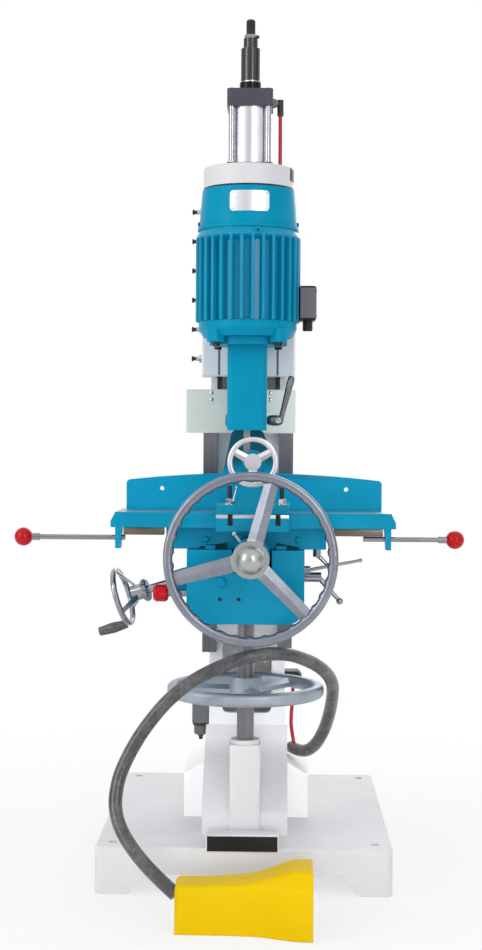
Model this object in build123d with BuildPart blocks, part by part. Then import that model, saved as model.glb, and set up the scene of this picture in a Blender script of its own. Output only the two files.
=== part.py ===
from build123d import *
from math import cos, pi, radians, sin, sqrt, tan
import os

os.makedirs("parts", exist_ok=True)

# Fits between pieces
running_fit = 0.05
slide_gap = 0.2
clear_gap = 1.0

# Base casting
base_width = 582
base_depth = 700
base_height = 92
base_corner = 14
base_edge = 5
base_top_wall = 26
skid_width = 65
arch_slope = 32
arch_height = 39
foot_end_wall = 60
anchor_inset_x = 33
anchor_inset_y = 40
anchor_radius = 9

# Column casting, its flared foot and the post for the lift nut
column_width = 160
column_front = -60
column_depth = 190
column_wall = 14
foot_half = 131
foot_side_rise = 91
foot_neck_rise = 120
foot_lead = 30
plinth_half = 86
plinth_reach = 190
plinth_front_rise = 46
plinth_neck_rise = 190
window_half = 52
window_bottom_rise = 215
window_height = 150
post_half = 31
post_rise = 184

# Ways on the column's front
rail_width = 30
rail_outer = 94
rail_depth = 35
rail_spare = 16
way_spare = 10
head_way_half = 62
head_way_neck_half = 46
head_way_plate = 20

# Lift screw and its handwheel
lift_travel_down = 70
lift_travel_up = 10
screw_radius = 17
screw_journal_radius = 13
screw_tail = 90
nut_radius = 25
nut_length = 50
nut_flange = 8
lift_wheel_rise = 108
lift_wheel_radius = 157.5
lift_wheel_rim = 24
lift_wheel_rim_height = 26
lift_hub_radius = 33
lift_hub_length = 52
lift_spoke_width = 26

# Knee
knee_half = 115
knee_rise = 142
knee_height = 145
knee_reach = 235
knee_wall = 16
knee_round = 34
lift_setback = 100
keeper_depth = 12
ridge_half = 10
ridge_spacing = 140
ridge_height = 8

# Saddle and the large handwheel's shaft
saddle_half = 158
saddle_height = 43
saddle_depth = 170
saddle_setback = 30
saddle_travel_front = 10
saddle_travel_back = 30
shaft_x = 12
shaft_drop = 6
shaft_radius = 12.5
shaft_boss_radius = 35
shaft_boss_reach = 126
large_wheel_radius = 162.5
large_wheel_rim = 17
large_wheel_rim_depth = 22
large_hub_radius = 35
large_hub_length = 44
large_ball_radius = 27
large_spoke_width = 27
large_wheel_lead = 48

# Rack and pinion under the table
tooth_module = 3
pinion_teeth = 16
pinion_width = 26
rack_width = 26
rack_spare = 32
rack_setback = 22
channel_gap = 4
notch_gap = 4

# Table, fence and end legs
table_length = 538
table_offset = 14
table_thickness = 30
table_ledge = 116
fence_flange = 44
table_travel = 80
leg_thickness = 13
leg_drop = 41
leg_depth = 30
leg_taper = 3
end_slope = 9
end_fall = 18
fence_length = 515
fence_thickness = 20
fence_end_height = 60
fence_crown = 15
fence_corner = 8
fence_flange_height = 12
fence_hole_spacing = 372
fence_hole_rise = 43
fence_hole_radius = 4.5
hump_left_foot = 52
hump_right_foot = 66
hump_top_half = 31
hump_corner = 12
hump_rise = 162
hump_offset = -14
nose_to_fence = 4

# Stop rods with ball knobs
rod_radius = 5
left_rod_length = 168
right_rod_length = 147
rod_inset = 6
right_rod_in = 54
ferrule_radius = 7
ferrule_length = 22
ball_radius = 18
ball_socket = 8

# Work clamp on the table's front
clamp_half = 70
clamp_height = 51
clamp_top_step = 18
clamp_step_depth = 14
clamp_step_height = 22
clamp_reach = 70
clamp_lap = 36
upright_half = 27
upright_thickness = 24
upright_setback = 29
clamp_axis_rise = 100
clamp_travel = 32
clamp_screw_radius = 9
clamp_boss_radius = 22
clamp_pad_radius = 10
clamp_pad_length = 12
clamp_wheel_radius = 48
clamp_wheel_rim = 10
clamp_hub_radius = 16
clamp_hub_length = 20
clamp_spoke_width = 14

# Chisel, auger and holder
chisel_side = 12.7
chisel_bore_radius = 4.9
chisel_exposed = 50
chisel_shank_radius = 14.3
chisel_shank_length = 48
auger_radius = 4.5
cutter_radius = 5.6
auger_drop = 9
tip_clearance = 2
holder_half = 39
holder_nose_height = 107
holder_height = 183
holder_flange_radius = 70
holder_flange = 16
chuck_bore_radius = 26
chuck_radius = 21
chuck_length = 76

# Head slide
head_stroke = 90
slide_half = 96
slide_thickness = 65
slide_lift = 112
slide_height = 353
gib_thickness = 8
gib_screw_count = 6
gib_screw_pitch = 61.2
gib_screw_radius = 5
gib_screw_length = 40
gib_screw_lift = 15
lock_nut_radius = 9.5
lock_nut_length = 8
guard_width = 228
guard_height = 91
guard_offset = -16
guard_thickness = 3
guard_strap_width = 9
guard_strap_spacing = 122
guard_strap_foot = 24
guard_strap_lap = 20
guard_hang = 26

# Motor
motor_gap = 6.5
motor_radius = 103.5
frame_radius = 89
frame_wall = 4
frame_height = 179
fin_count = 30
fin_thickness = 7
fin_round = 3
bell_height = 30
bell_radius = 97
bell_slope_height = 16
bell_slope_inset = 9
lug_drop = 12
lug_half = 14
lug_inset = 11
lug_round = 6
top_bell_flange = 6
top_bell_height = 19
bearing_outer = 26
bearing_bore = 12.5
bearing_width = 15
rotor_radius = 58
rotor_gap = 0.8
rotor_length = 105
shaft_tip_radius = 9.5
cowl_height = 74
cowl_foot_radius = 97
cowl_top_radius = 91
cowl_wall = 3
cowl_slots = 12
fan_radius = 74
fan_height = 24
fan_blades = 8
terminal_reach = 30
terminal_height = 67
terminal_half = 32
terminal_rise = 4
gland_radius = 9
gland_length = 20

# Air cylinder on the top bracket
bracket_clearance = 3
bracket_height = 40
bracket_radius = 89
bracket_pocket_radius = 74
bracket_pocket = 24
cap_side = 94
cap_edge = 10
cap_corner = 9
lower_cap_height = 32
upper_cap_height = 35
barrel_wall = 3
barrel_length = 115
tie_rod_radius = 6.5
tie_rod_gap = 2.83
piston_length = 22
piston_rod_radius = 12.5
collar_radius = 22.5
collar_height = 19
ring_height = 4
ring_radius = 17
sleeve_radius = 20
sleeve_height = 66
sleeve_neck_radius = 15
sleeve_neck_height = 21
stem_nut_radius = 13
stem_nut_height = 8
stem_radius = 9
stem_height = 31
stem_travel = 20

# Air line
elbow_radius = 6.5
elbow_reach = 15
elbow_rise = 13
elbow_drop = 26
tube_radius = 4
filter_width = 36
filter_height = 62
filter_rise = 192
bowl_radius = 15
bowl_length = 27
valve_reach = 36
valve_height = 24
valve_depth = 44
valve_rise = 292
conduit_radius = 13

# Foot pedal
pedal_y = -564
pedal_left = -119
pedal_right = 129
pedal_plate = 6
hood_wall = 3
treadle_pivot_x = -40
treadle_pivot_rise = 44
treadle_length = 142
treadle_half = 27
treadle_thickness = 8
treadle_pin_radius = 5
ear_thickness = 6
ear_half = 10

# Levers and knobs
chisel_lever_rise = 20
chisel_lever_hub = 9.5
chisel_lever_reach = 33
chisel_lever_arm = 84
knee_lever_drop = 58
knee_lever_setback = 80
knee_lever_hub = 10
knee_lever_reach = 35
knee_lever_arm = 64
saddle_lever_arm = 30
saddle_lever_inset = 17
saddle_lever_setback = 45
saddle_lever_hub = 8
saddle_lever_reach = 17
lock_rod_arm = 104
lock_rod_drop = 40
lock_rod_setback = 30
lock_rod_hub = 8
lock_rod_reach = 12
knob_drop = 86
knob_setback = 14
knob_reach = 51
knob_radius = 17
knob_length = 30
knob_round = 8
crank_setback = 62
crank_drop = 60
crank_tilt = 17
crank_back_turn = 8
crank_boss_radius = 22
crank_boss_length = 36
crank_shaft_radius = 9
crank_hub_distance = 105
crank_hub_length = 26
crank_wheel_radius = 60
crank_rim = 11
crank_hub_radius = 16
crank_spoke_width = 10
crank_dish = 34
crank_grip_radius = 11
crank_grip_length = 60
crank_pin_radius = 4

# Heights, stacked from the floor
foot_side_top = base_height + foot_side_rise
foot_neck_top = base_height + foot_neck_rise
plinth_front_top = base_height + plinth_front_rise
plinth_neck_top = base_height + plinth_neck_rise
post_top = base_height + post_rise
lift_wheel_z = post_top + lift_wheel_rise
knee_bottom = lift_wheel_z + knee_rise
knee_top = knee_bottom + knee_height
saddle_top = knee_top + saddle_height
table_bottom = saddle_top + slide_gap
table_top = table_bottom + table_thickness
auger_tip = table_top + lift_travel_up + head_stroke + tip_clearance
chisel_tip = auger_tip + auger_drop
holder_bottom = chisel_tip + chisel_exposed
holder_top = holder_bottom + holder_height
slide_bottom = holder_bottom + slide_lift
slide_top = slide_bottom + slide_height
bell_top = holder_top + bell_height
frame_top = bell_top + frame_height
cowl_bottom = frame_top + top_bell_flange
cowl_top = cowl_bottom + cowl_height
column_top = max(cowl_top, slide_top) + bracket_clearance
bracket_top = column_top + bracket_height
barrel_bottom = bracket_top + lower_cap_height
barrel_top = barrel_bottom + barrel_length
cap_top = barrel_top + upper_cap_height
collar_top = cap_top + collar_height
rail_bottom = knee_bottom - lift_travel_down - rail_spare
rail_top = holder_bottom
head_way_bottom = slide_bottom - head_stroke - way_spare
shaft_z = knee_top - shaft_drop

# Places from the column's front towards the operator
rail_front = column_front - rail_depth
slide_front = rail_front - slide_thickness
spindle_y = slide_front - motor_gap - motor_radius
nose_back = spindle_y + holder_half
fence_front = nose_back + saddle_travel_front + nose_to_fence
fence_back = fence_front + fence_thickness
table_front = fence_front - table_ledge
table_back = fence_back + fence_flange
knee_front = rail_front - knee_reach
lift_y = knee_front + lift_setback
saddle_front = knee_front + saddle_setback
saddle_back = saddle_front + saddle_depth
cylinder_y = rail_front - slide_thickness / 2
rod_y = table_front + leg_depth / 2
leg_bottom = table_bottom - leg_drop
rod_z = table_bottom - leg_drop / 2
upright_back = table_front - upright_setback
upright_front = upright_back - upright_thickness
clamp_wheel_y = upright_front - clamp_travel - clear_gap - clamp_hub_length
clamp_z = table_top + clamp_axis_rise
large_wheel_y = clamp_wheel_y - large_wheel_lead
pinion_pitch_radius = tooth_module * pinion_teeth / 2
rack_y = saddle_front + rack_setback
arch_foot_half = base_width / 2 - skid_width
arch_top_half = arch_foot_half - arch_slope
column_half = column_width / 2
column_back = column_front + column_depth
foot_front = column_front - foot_lead
plinth_front = column_front - plinth_reach
table_left = table_offset - table_length / 2
table_right = table_offset + table_length / 2
rack_reach = table_travel + rack_spare

# Barrel between its tie rods
tie_rod_spacing = cap_side - 2 * cap_edge
barrel_radius = tie_rod_spacing / sqrt(2) - tie_rod_radius - tie_rod_gap
barrel_bore_radius = barrel_radius - barrel_wall


def front_plane(y):
    return Plane(origin=(0, y, 0), x_dir=(1, 0, 0), z_dir=(0, -1, 0))


def floor_plane(x, y, z):
    return Plane(origin=(x, y, z), x_dir=(1, 0, 0), z_dir=(0, 0, 1))


def save(piece, name):
    piece.part.label = name
    export_step(piece.part, f"parts/{name}.step")


def handwheel(plane, radius, rim, rim_depth, dish, hub, hub_back, hub_front, bore, spoke, spokes, phase):
    with BuildPart() as wheel:
        with BuildSketch(plane.offset(dish)):
            Circle(radius)
            Circle(radius - rim, mode=Mode.SUBTRACT)
        extrude(amount=rim_depth / 2, both=True)
        fillet(wheel.edges().filter_by(GeomType.CIRCLE), min(rim, rim_depth) * 0.4)
        for i in range(spokes):
            turn = radians(phase + 360 * i / spokes)
            outward = plane.x_dir * cos(turn) + plane.y_dir * sin(turn)
            inner = hub * 0.6
            outer = radius - rim * 0.6
            half = rim_depth * 0.32
            across = plane.z_dir.cross(outward)
            root = plane.origin + outward * inner
            end = plane.origin + outward * outer + plane.z_dir * dish
            for point, side in ((root, spoke * 0.58), (end, spoke * 0.47)):
                with BuildSketch(Plane(point, x_dir=across, z_dir=outward)):
                    with BuildLine():
                        Polyline(
                            (-side, -half), (side, -half), (side, half * 0.1), (0, half),
                            (-side, half * 0.1), close=True,
                        )
                    make_face()
            loft(ruled=True)
        with BuildSketch(plane.offset(hub_back)):
            Circle(hub)
        extrude(amount=hub_front - hub_back)
        with BuildSketch(plane.offset(hub_back)):
            Circle(bore)
        extrude(amount=hub_front - hub_back, mode=Mode.SUBTRACT)
    return wheel


def lever(plane, hub, hub_length, arm, tilt, thin, thick, tip):
    lean = radians(tilt)
    along = plane.x_dir * cos(lean) + plane.z_dir * sin(lean)
    start = plane.origin + plane.z_dir * (hub_length - thick)
    reach = Plane(start, x_dir=plane.y_dir, z_dir=along)
    with BuildPart() as handle:
        with BuildSketch(plane):
            Circle(hub)
        extrude(amount=hub_length)
        with BuildSketch(reach):
            Circle(thick)
        with BuildSketch(reach.offset(arm)):
            Circle(thin)
        loft()
        with Locations(Location(start + along * arm)):
            Sphere(tip)
    return handle


# Base casting: flat top, two skids and an arched gap from front to back
with BuildPart() as base:
    with BuildSketch():
        RectangleRounded(base_width, base_depth, base_corner)
    extrude(amount=base_height)
    fillet(base.faces().sort_by(Axis.Z)[-1].edges(), base_edge)
    with BuildSketch(front_plane(base_depth / 2)):
        with BuildLine():
            Polyline(
                (-arch_foot_half, 0), (-arch_top_half, arch_height),
                (arch_top_half, arch_height), (arch_foot_half, 0), close=True,
            )
        make_face()
    extrude(amount=base_depth, mode=Mode.SUBTRACT)
    with BuildSketch(Plane.XY.offset(arch_height)):
        Rectangle(2 * arch_top_half, base_depth - 2 * foot_end_wall)
    extrude(amount=base_height - base_top_wall - arch_height, mode=Mode.SUBTRACT)
    with BuildSketch():
        with GridLocations(base_width - 2 * anchor_inset_x, base_depth - 2 * anchor_inset_y, 2, 2):
            Circle(anchor_radius)
    extrude(amount=base_height, mode=Mode.SUBTRACT)
save(base, "base")

# Column: hollow box on a flared foot, with a sloping plinth and the post for the lift nut in front
with BuildPart() as column:
    with BuildSketch(floor_plane(0, (column_front + column_back) / 2, base_height)):
        Rectangle(column_width, column_depth)
    extrude(amount=column_top - base_height)
    with BuildSketch(front_plane(column_back)):
        with BuildLine():
            Polyline(
                (-foot_half, base_height), (foot_half, base_height), (foot_half, foot_side_top),
                (column_half, foot_neck_top), (-column_half, foot_neck_top), (-foot_half, foot_side_top),
                close=True,
            )
        make_face()
    extrude(amount=column_back - foot_front)
    with BuildSketch(Plane.YZ.offset(-plinth_half)):
        with BuildLine():
            Polyline(
                (plinth_front, base_height), (column_front, base_height), (column_front, plinth_neck_top),
                (plinth_front, plinth_front_top), close=True,
            )
        make_face()
    extrude(amount=2 * plinth_half)
    with BuildSketch(floor_plane(0, lift_y, base_height)):
        RectangleRounded(2 * post_half, 2 * post_half, 6)
    extrude(amount=post_rise)
    with BuildSketch(floor_plane(0, (column_front + column_back) / 2, base_height)):
        Rectangle(column_width - 2 * column_wall, column_depth - 2 * column_wall)
    extrude(amount=column_top - base_height - column_wall, mode=Mode.SUBTRACT)
    with BuildSketch(front_plane(column_front + column_wall)):
        with Locations((0, base_height + window_bottom_rise + window_height / 2)):
            RectangleRounded(2 * window_half, window_height, 12)
    extrude(amount=column_wall + clear_gap, mode=Mode.SUBTRACT)
    with BuildSketch(floor_plane(0, lift_y, base_height)):
        Circle(screw_radius + clear_gap)
    extrude(amount=post_rise, mode=Mode.SUBTRACT)
    with BuildSketch(floor_plane(0, lift_y, post_top - nut_length)):
        Circle(nut_radius + running_fit)
    extrude(amount=nut_length, mode=Mode.SUBTRACT)
save(column, "column")

# Two flat rails for the knee and one T-shaped way for the head
with BuildPart() as column_ways:
    with BuildSketch(front_plane(column_front)):
        with Locations((0, (rail_bottom + rail_top) / 2)):
            with GridLocations(2 * rail_outer - rail_width, 0, 2, 1):
                Rectangle(rail_width, rail_top - rail_bottom)
    extrude(amount=rail_depth)
    with BuildSketch(floor_plane(0, 0, head_way_bottom)):
        with Locations((0, rail_front + head_way_plate / 2)):
            Rectangle(2 * head_way_half, head_way_plate)
        with Locations((0, column_front - rail_depth / 2)):
            Rectangle(2 * head_way_neck_half, rail_depth)
    extrude(amount=column_top - head_way_bottom)
save(column_ways, "column_ways")

# Bronze nut pressed into the post
with BuildPart() as lift_nut:
    with BuildSketch(floor_plane(0, lift_y, post_top - nut_length)):
        Circle(nut_radius)
    extrude(amount=nut_length)
    with BuildSketch(floor_plane(0, lift_y, post_top)):
        Circle(nut_radius + nut_flange / 2)
    extrude(amount=nut_flange)
    with BuildSketch(floor_plane(0, lift_y, post_top - nut_length)):
        Circle(screw_radius + running_fit)
    extrude(amount=nut_length + nut_flange, mode=Mode.SUBTRACT)
save(lift_nut, "lift_nut")

# Top bracket with a round nose over the motor
with BuildPart() as top_bracket:
    with BuildSketch(Plane.XY.offset(column_top)):
        with Locations((0, (column_back + spindle_y) / 2)):
            Rectangle(2 * bracket_radius, column_back - spindle_y)
        with Locations((0, spindle_y)):
            Circle(bracket_radius)
    extrude(amount=bracket_height)
    fillet(top_bracket.faces().sort_by(Axis.Z)[-1].edges(), 4)
    with BuildSketch(floor_plane(0, spindle_y, column_top)):
        Circle(bracket_pocket_radius)
    extrude(amount=bracket_pocket, mode=Mode.SUBTRACT)
    with BuildSketch(floor_plane(0, cylinder_y, column_top)):
        Circle(piston_rod_radius + clear_gap)
    extrude(amount=bracket_height, mode=Mode.SUBTRACT)
save(top_bracket, "top_bracket")

# Cylinder end caps, with the black collar on the upper one
with BuildPart() as cylinder_caps:
    for cap_bottom, cap_height, bore in (
        (bracket_top, lower_cap_height, piston_rod_radius),
        (barrel_top, upper_cap_height, stem_radius),
    ):
        with BuildSketch(floor_plane(0, cylinder_y, cap_bottom)):
            RectangleRounded(cap_side, cap_side, cap_corner)
            Circle(bore + running_fit, mode=Mode.SUBTRACT)
            with GridLocations(tie_rod_spacing, tie_rod_spacing, 2, 2):
                Circle(tie_rod_radius + running_fit, mode=Mode.SUBTRACT)
        extrude(amount=cap_height)
    with BuildSketch(floor_plane(0, cylinder_y, cap_top)):
        Circle(collar_radius)
        Circle(stem_radius + running_fit, mode=Mode.SUBTRACT)
    extrude(amount=collar_height)
save(cylinder_caps, "cylinder_caps")

with BuildPart() as cylinder_barrel:
    with BuildSketch(floor_plane(0, cylinder_y, barrel_bottom)):
        Circle(barrel_radius)
        Circle(barrel_bore_radius, mode=Mode.SUBTRACT)
    extrude(amount=barrel_length)
save(cylinder_barrel, "cylinder_barrel")

# Four tie rods, flush with the upper cap
with BuildPart() as tie_rods:
    with BuildSketch(floor_plane(0, cylinder_y, bracket_top)):
        with GridLocations(tie_rod_spacing, tie_rod_spacing, 2, 2):
            Circle(tie_rod_radius)
    extrude(amount=cap_top - bracket_top)
save(tie_rods, "tie_rods")

# Stroke adjuster: a ring that rides up and down, and the sleeve with its stem that turns in it
with BuildPart() as stroke_ring:
    with BuildSketch(floor_plane(0, cylinder_y, collar_top)):
        Circle(ring_radius)
        Circle(stem_radius + running_fit, mode=Mode.SUBTRACT)
    extrude(amount=ring_height)
save(stroke_ring, "stroke_ring")

stem_bottom = barrel_top + stem_travel / 4
with BuildPart() as stroke_stem:
    level = collar_top + ring_height
    for radius, height in (
        (sleeve_radius, sleeve_height), (sleeve_neck_radius, sleeve_neck_height),
        (stem_radius, stem_nut_height), (stem_radius, stem_height),
    ):
        with BuildSketch(floor_plane(0, cylinder_y, level)):
            Circle(radius)
        extrude(amount=height)
        level += height
    with BuildSketch(floor_plane(0, cylinder_y, level - stem_height - stem_nut_height)):
        RegularPolygon(stem_nut_radius, 6)
    extrude(amount=stem_nut_height)
    with BuildSketch(floor_plane(0, cylinder_y, stem_bottom)):
        Circle(stem_radius)
    extrude(amount=collar_top + ring_height - stem_bottom)
    chamfer(stroke_stem.edges().sort_by(Axis.Z)[-1], 2)
save(stroke_stem, "stroke_stem")

# Elbow fitting on the right of the upper cap
elbow_z = barrel_top + elbow_rise
elbow_x = cap_side / 2 + elbow_reach
with BuildPart() as air_elbow:
    with BuildSketch(Plane(origin=(cap_side / 2, cylinder_y, elbow_z), x_dir=(0, 1, 0), z_dir=(1, 0, 0))):
        Circle(elbow_radius)
    extrude(amount=elbow_reach)
    with BuildSketch(floor_plane(elbow_x, cylinder_y, elbow_z - elbow_drop)):
        Circle(elbow_radius)
    extrude(amount=elbow_drop + elbow_radius)
save(air_elbow, "air_elbow")

# Valve block on the column's right side
valve_z = base_height + valve_rise
valve_y = column_front + valve_depth / 2
with BuildPart() as air_valve:
    with BuildSketch(Plane(origin=(column_half, valve_y, valve_z), x_dir=(0, 1, 0), z_dir=(1, 0, 0))):
        Rectangle(valve_depth, valve_height)
    extrude(amount=valve_reach)
    chamfer(air_valve.faces().sort_by(Axis.X)[-1].edges().sort_by(Axis.Z)[-1], 8)
save(air_valve, "air_valve")


def route(points, bends):
    radii = []
    for before, here, after in zip(points, points[1:], points[2:]):
        into = Vector(*here) - Vector(*before)
        out = Vector(*after) - Vector(*here)
        turn = radians(into.get_angle(out))
        radii.append(bends * min(into.length, out.length) / tan(turn / 2))
    return radii


def tube(points, radius, name):
    radii = route(points, 0.45)
    with BuildPart() as pipe:
        with BuildLine() as path:
            FilletPolyline(*points, radius=radii)
        middle_line = path.wires()[0]
        with BuildSketch(Plane(middle_line @ 0, z_dir=middle_line % 0)):
            Circle(radius)
        sweep(path=middle_line)
    expected = pi * radius**2 * middle_line.length
    print(name, "length", round(middle_line.length, 1), "ratio", round(pipe.part.volume / expected, 4))
    print(name, "radii", [round(r) for r in radii])
    return pipe


# Conduit from beside the column, over the front of the lift wheel and down to the pedal
conduit_points = [
    (96, 10, 222), (117, -30, 218), (142, -70, 236), (161, -112, 276), (172, -152, 320), (177, -200, 368),
    (175, -244, 404), (150, -300, 440), (104, -352, 468), (64, -384, 478), (8, -404, 474), (-49, -413, 454),
    (-101, -420, 427), (-142, -428, 394), (-171, -436, 361), (-200, -446, 321), (-226, -458, 271),
    (-236, -471, 237), (-238, -486, 198), (-224, -507, 161), (-192, -530, 122), (-153, -550, 87),
    (pedal_left, -563, 61),
]
conduit = tube(conduit_points, conduit_radius, "conduit")
save(conduit, "conduit")

# Red air tubes: one from the elbow into the bracket, one from the valve into the conduit
tube_start = (98, -38, valve_z - valve_height / 2)
lower_tube_points = [tube_start, (98, -38, tube_start[2] - 36), (95, -14, 298), (95, 6, 262), (104, -4, 221)]
lower_tube = tube(lower_tube_points, tube_radius, "lower tube")
with BuildPart() as air_tubes:
    with BuildSketch(floor_plane(elbow_x, cylinder_y, bracket_top)):
        Circle(tube_radius)
    extrude(amount=elbow_z - elbow_drop - bracket_top)
    add(lower_tube.part)
save(air_tubes, "air_tubes")

# Filter on the column's left side, with its clear bowl below
filter_z = base_height + filter_rise
filter_x = -column_half - filter_width / 2
with BuildPart() as filter_body:
    with BuildSketch(floor_plane(filter_x, column_front + filter_width / 2, filter_z)):
        RectangleRounded(filter_width, filter_width, 5)
    extrude(amount=filter_height)
    fillet(filter_body.faces().sort_by(Axis.Z)[-1].edges(), 3)
save(filter_body, "filter_body")

with BuildPart() as filter_bowl:
    with BuildSketch(floor_plane(filter_x, column_front + filter_width / 2, filter_z - bowl_length)):
        Circle(bowl_radius)
    extrude(amount=bowl_length)
    fillet(filter_bowl.faces().sort_by(Axis.Z)[0].edges(), 6)
save(filter_bowl, "filter_bowl")

# Head slide with a T-shaped channel for its way
lip_front = rail_front + head_way_plate + slide_gap
channel_front = rail_front - slide_gap
channel_left = -head_way_half - gib_thickness - 2 * slide_gap
channel_right = head_way_half + slide_gap
gib_y = rail_front + head_way_plate / 2
gib_low = (slide_bottom + slide_top - gib_screw_pitch * (gib_screw_count - 1)) / 2 + gib_screw_lift
gib_screw_places = [(gib_y, gib_low + gib_screw_pitch * i) for i in range(gib_screw_count)]
with BuildPart() as head_slide:
    with BuildSketch(floor_plane(0, 0, slide_bottom)):
        with Locations((0, (slide_front + column_front - clear_gap) / 2)):
            Rectangle(2 * slide_half, column_front - clear_gap - slide_front)
        with Locations(((channel_left + channel_right) / 2, (channel_front + lip_front) / 2)):
            Rectangle(channel_right - channel_left, lip_front - channel_front, mode=Mode.SUBTRACT)
        with Locations((0, (lip_front + column_front) / 2)):
            Rectangle(2 * (head_way_neck_half + clear_gap), column_front - lip_front, mode=Mode.SUBTRACT)
    extrude(amount=slide_height)
    fillet(head_slide.edges().filter_by(Axis.Z).group_by(Axis.Y)[0], 5)
    with BuildSketch(Plane.YZ.offset(-slide_half)):
        with Locations(*gib_screw_places):
            Circle(gib_screw_radius + running_fit)
    extrude(amount=slide_half + channel_left, mode=Mode.SUBTRACT)
save(head_slide, "head_slide")

with BuildPart() as head_gib:
    with BuildSketch(floor_plane(-head_way_half - slide_gap - gib_thickness / 2, 0, slide_bottom)):
        with Locations((0, gib_y)):
            Rectangle(gib_thickness, head_way_plate - slide_gap)
    extrude(amount=slide_height)
save(head_gib, "head_gib")

# Gib screws with hexagon lock nuts
with BuildPart() as gib_screws:
    with BuildSketch(Plane.YZ.offset(channel_left + slide_gap)):
        with Locations(*gib_screw_places):
            Circle(gib_screw_radius)
    extrude(amount=-gib_screw_length)
    with BuildSketch(Plane.YZ.offset(-slide_half)):
        with Locations(*gib_screw_places):
            RegularPolygon(lock_nut_radius, 6)
    extrude(amount=-lock_nut_length)
save(gib_screws, "gib_screws")

# Sheet guard that hangs below the slide on two straps
guard_top = slide_bottom - guard_hang
with BuildPart() as guard_plate:
    with BuildSketch(front_plane(rail_front - clear_gap)):
        with Locations((guard_offset, guard_top - guard_height / 2)):
            RectangleRounded(guard_width, guard_height, 3)
        with Locations((0, (guard_top + slide_bottom - guard_strap_lap) / 2)):
            with GridLocations(guard_strap_spacing, 0, 2, 1):
                Rectangle(guard_strap_width, slide_bottom - guard_top + guard_strap_lap)
    extrude(amount=guard_thickness)
    with BuildSketch(floor_plane(0, rail_front - clear_gap - guard_strap_foot / 2, slide_bottom)):
        with GridLocations(guard_strap_spacing, 0, 2, 1):
            Rectangle(guard_strap_width, guard_strap_foot)
    extrude(amount=-guard_thickness)
save(guard_plate, "guard_plate")

# Piston and rod, seated on the slide's top
with BuildPart() as piston_rod:
    with BuildSketch(floor_plane(0, cylinder_y, slide_top)):
        Circle(piston_rod_radius)
    extrude(amount=barrel_top - clear_gap - slide_top)
    with BuildSketch(floor_plane(0, cylinder_y, barrel_top - clear_gap - piston_length)):
        Circle(barrel_bore_radius - running_fit)
    extrude(amount=piston_length)
save(piston_rod, "piston_rod")

# Chisel holder: narrow nose round the chisel, body back to the slide, flange under the motor
nose_top = holder_bottom + holder_nose_height
with BuildPart() as chisel_holder:
    with BuildSketch(floor_plane(0, spindle_y, holder_bottom)):
        RectangleRounded(2 * holder_half, 2 * holder_half, 12)
    extrude(amount=holder_height)
    with BuildSketch(floor_plane(0, (spindle_y + slide_front) / 2, nose_top)):
        Rectangle(2 * holder_half, slide_front - spindle_y)
    extrude(amount=holder_top - nose_top)
    with BuildSketch(floor_plane(0, spindle_y, holder_top - holder_flange)):
        Circle(holder_flange_radius)
    extrude(amount=holder_flange)
    with BuildSketch(floor_plane(0, spindle_y, holder_bottom)):
        Circle(chisel_shank_radius + running_fit)
    extrude(amount=holder_height, mode=Mode.SUBTRACT)
    with BuildSketch(floor_plane(0, spindle_y, holder_bottom + chisel_shank_length)):
        Circle(chuck_bore_radius)
    extrude(amount=holder_height - chisel_shank_length, mode=Mode.SUBTRACT)
save(chisel_holder, "chisel_holder")

# Hollow square chisel with its round shank
with BuildPart() as chisel:
    with BuildSketch(floor_plane(0, spindle_y, chisel_tip)):
        Rectangle(chisel_side, chisel_side)
    extrude(amount=chisel_exposed)
    with BuildSketch(floor_plane(0, spindle_y, holder_bottom)):
        Circle(chisel_shank_radius)
    extrude(amount=chisel_shank_length)
    with BuildSketch(floor_plane(0, spindle_y, chisel_tip)):
        Circle(chisel_bore_radius)
    extrude(amount=chisel_exposed + chisel_shank_length, mode=Mode.SUBTRACT)
    with BuildSketch(front_plane(spindle_y)):
        with BuildLine():
            Polyline(
                (-chisel_side / 2 + 1, chisel_tip), (0, chisel_tip + chisel_side / 2),
                (chisel_side / 2 - 1, chisel_tip), close=True,
            )
        make_face()
    extrude(amount=chisel_side, both=True, mode=Mode.SUBTRACT)
save(chisel, "chisel")

# Finned motor frame
with BuildPart() as motor_frame:
    with BuildSketch(floor_plane(0, spindle_y, bell_top)):
        Circle(frame_radius)
        with PolarLocations((motor_radius + frame_radius - frame_wall) / 2, fin_count):
            RectangleRounded(motor_radius - frame_radius + frame_wall, fin_thickness, fin_round)
        Circle(frame_radius - frame_wall, mode=Mode.SUBTRACT)
    extrude(amount=frame_height)
save(motor_frame, "motor_frame")

# Lower end bell with side lugs, and upper end bell, each with a bearing seat
bearing_levels = (holder_top + bell_height - bearing_width - 6, frame_top + 2)
with BuildPart() as motor_bells:
    with BuildSketch(floor_plane(0, spindle_y, holder_top)):
        Circle(bell_radius)
    extrude(amount=bell_height)
    chamfer(motor_bells.edges().sort_by(Axis.Z)[0], bell_slope_height, bell_slope_inset)
    with BuildSketch(floor_plane(0, spindle_y, holder_top - lug_drop)):
        with PolarLocations(bell_radius - lug_inset, 4, start_angle=45):
            RectangleRounded(2 * lug_half, 2 * lug_half, lug_round)
    extrude(amount=lug_drop + bell_height / 2)
    with BuildSketch(floor_plane(0, spindle_y, frame_top)):
        Circle(cowl_foot_radius + cowl_wall)
    extrude(amount=top_bell_flange)
    with BuildSketch(floor_plane(0, spindle_y, cowl_bottom)):
        Circle(bearing_outer + 12)
    extrude(amount=top_bell_height - top_bell_flange)
    for level in bearing_levels:
        with BuildSketch(floor_plane(0, spindle_y, level)):
            Circle(bearing_outer)
        extrude(amount=bearing_width, mode=Mode.SUBTRACT)
    with BuildSketch(floor_plane(0, spindle_y, holder_top)):
        Circle(bearing_bore + clear_gap)
    extrude(amount=cowl_top - holder_top, mode=Mode.SUBTRACT)
save(motor_bells, "motor_bells")

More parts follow.
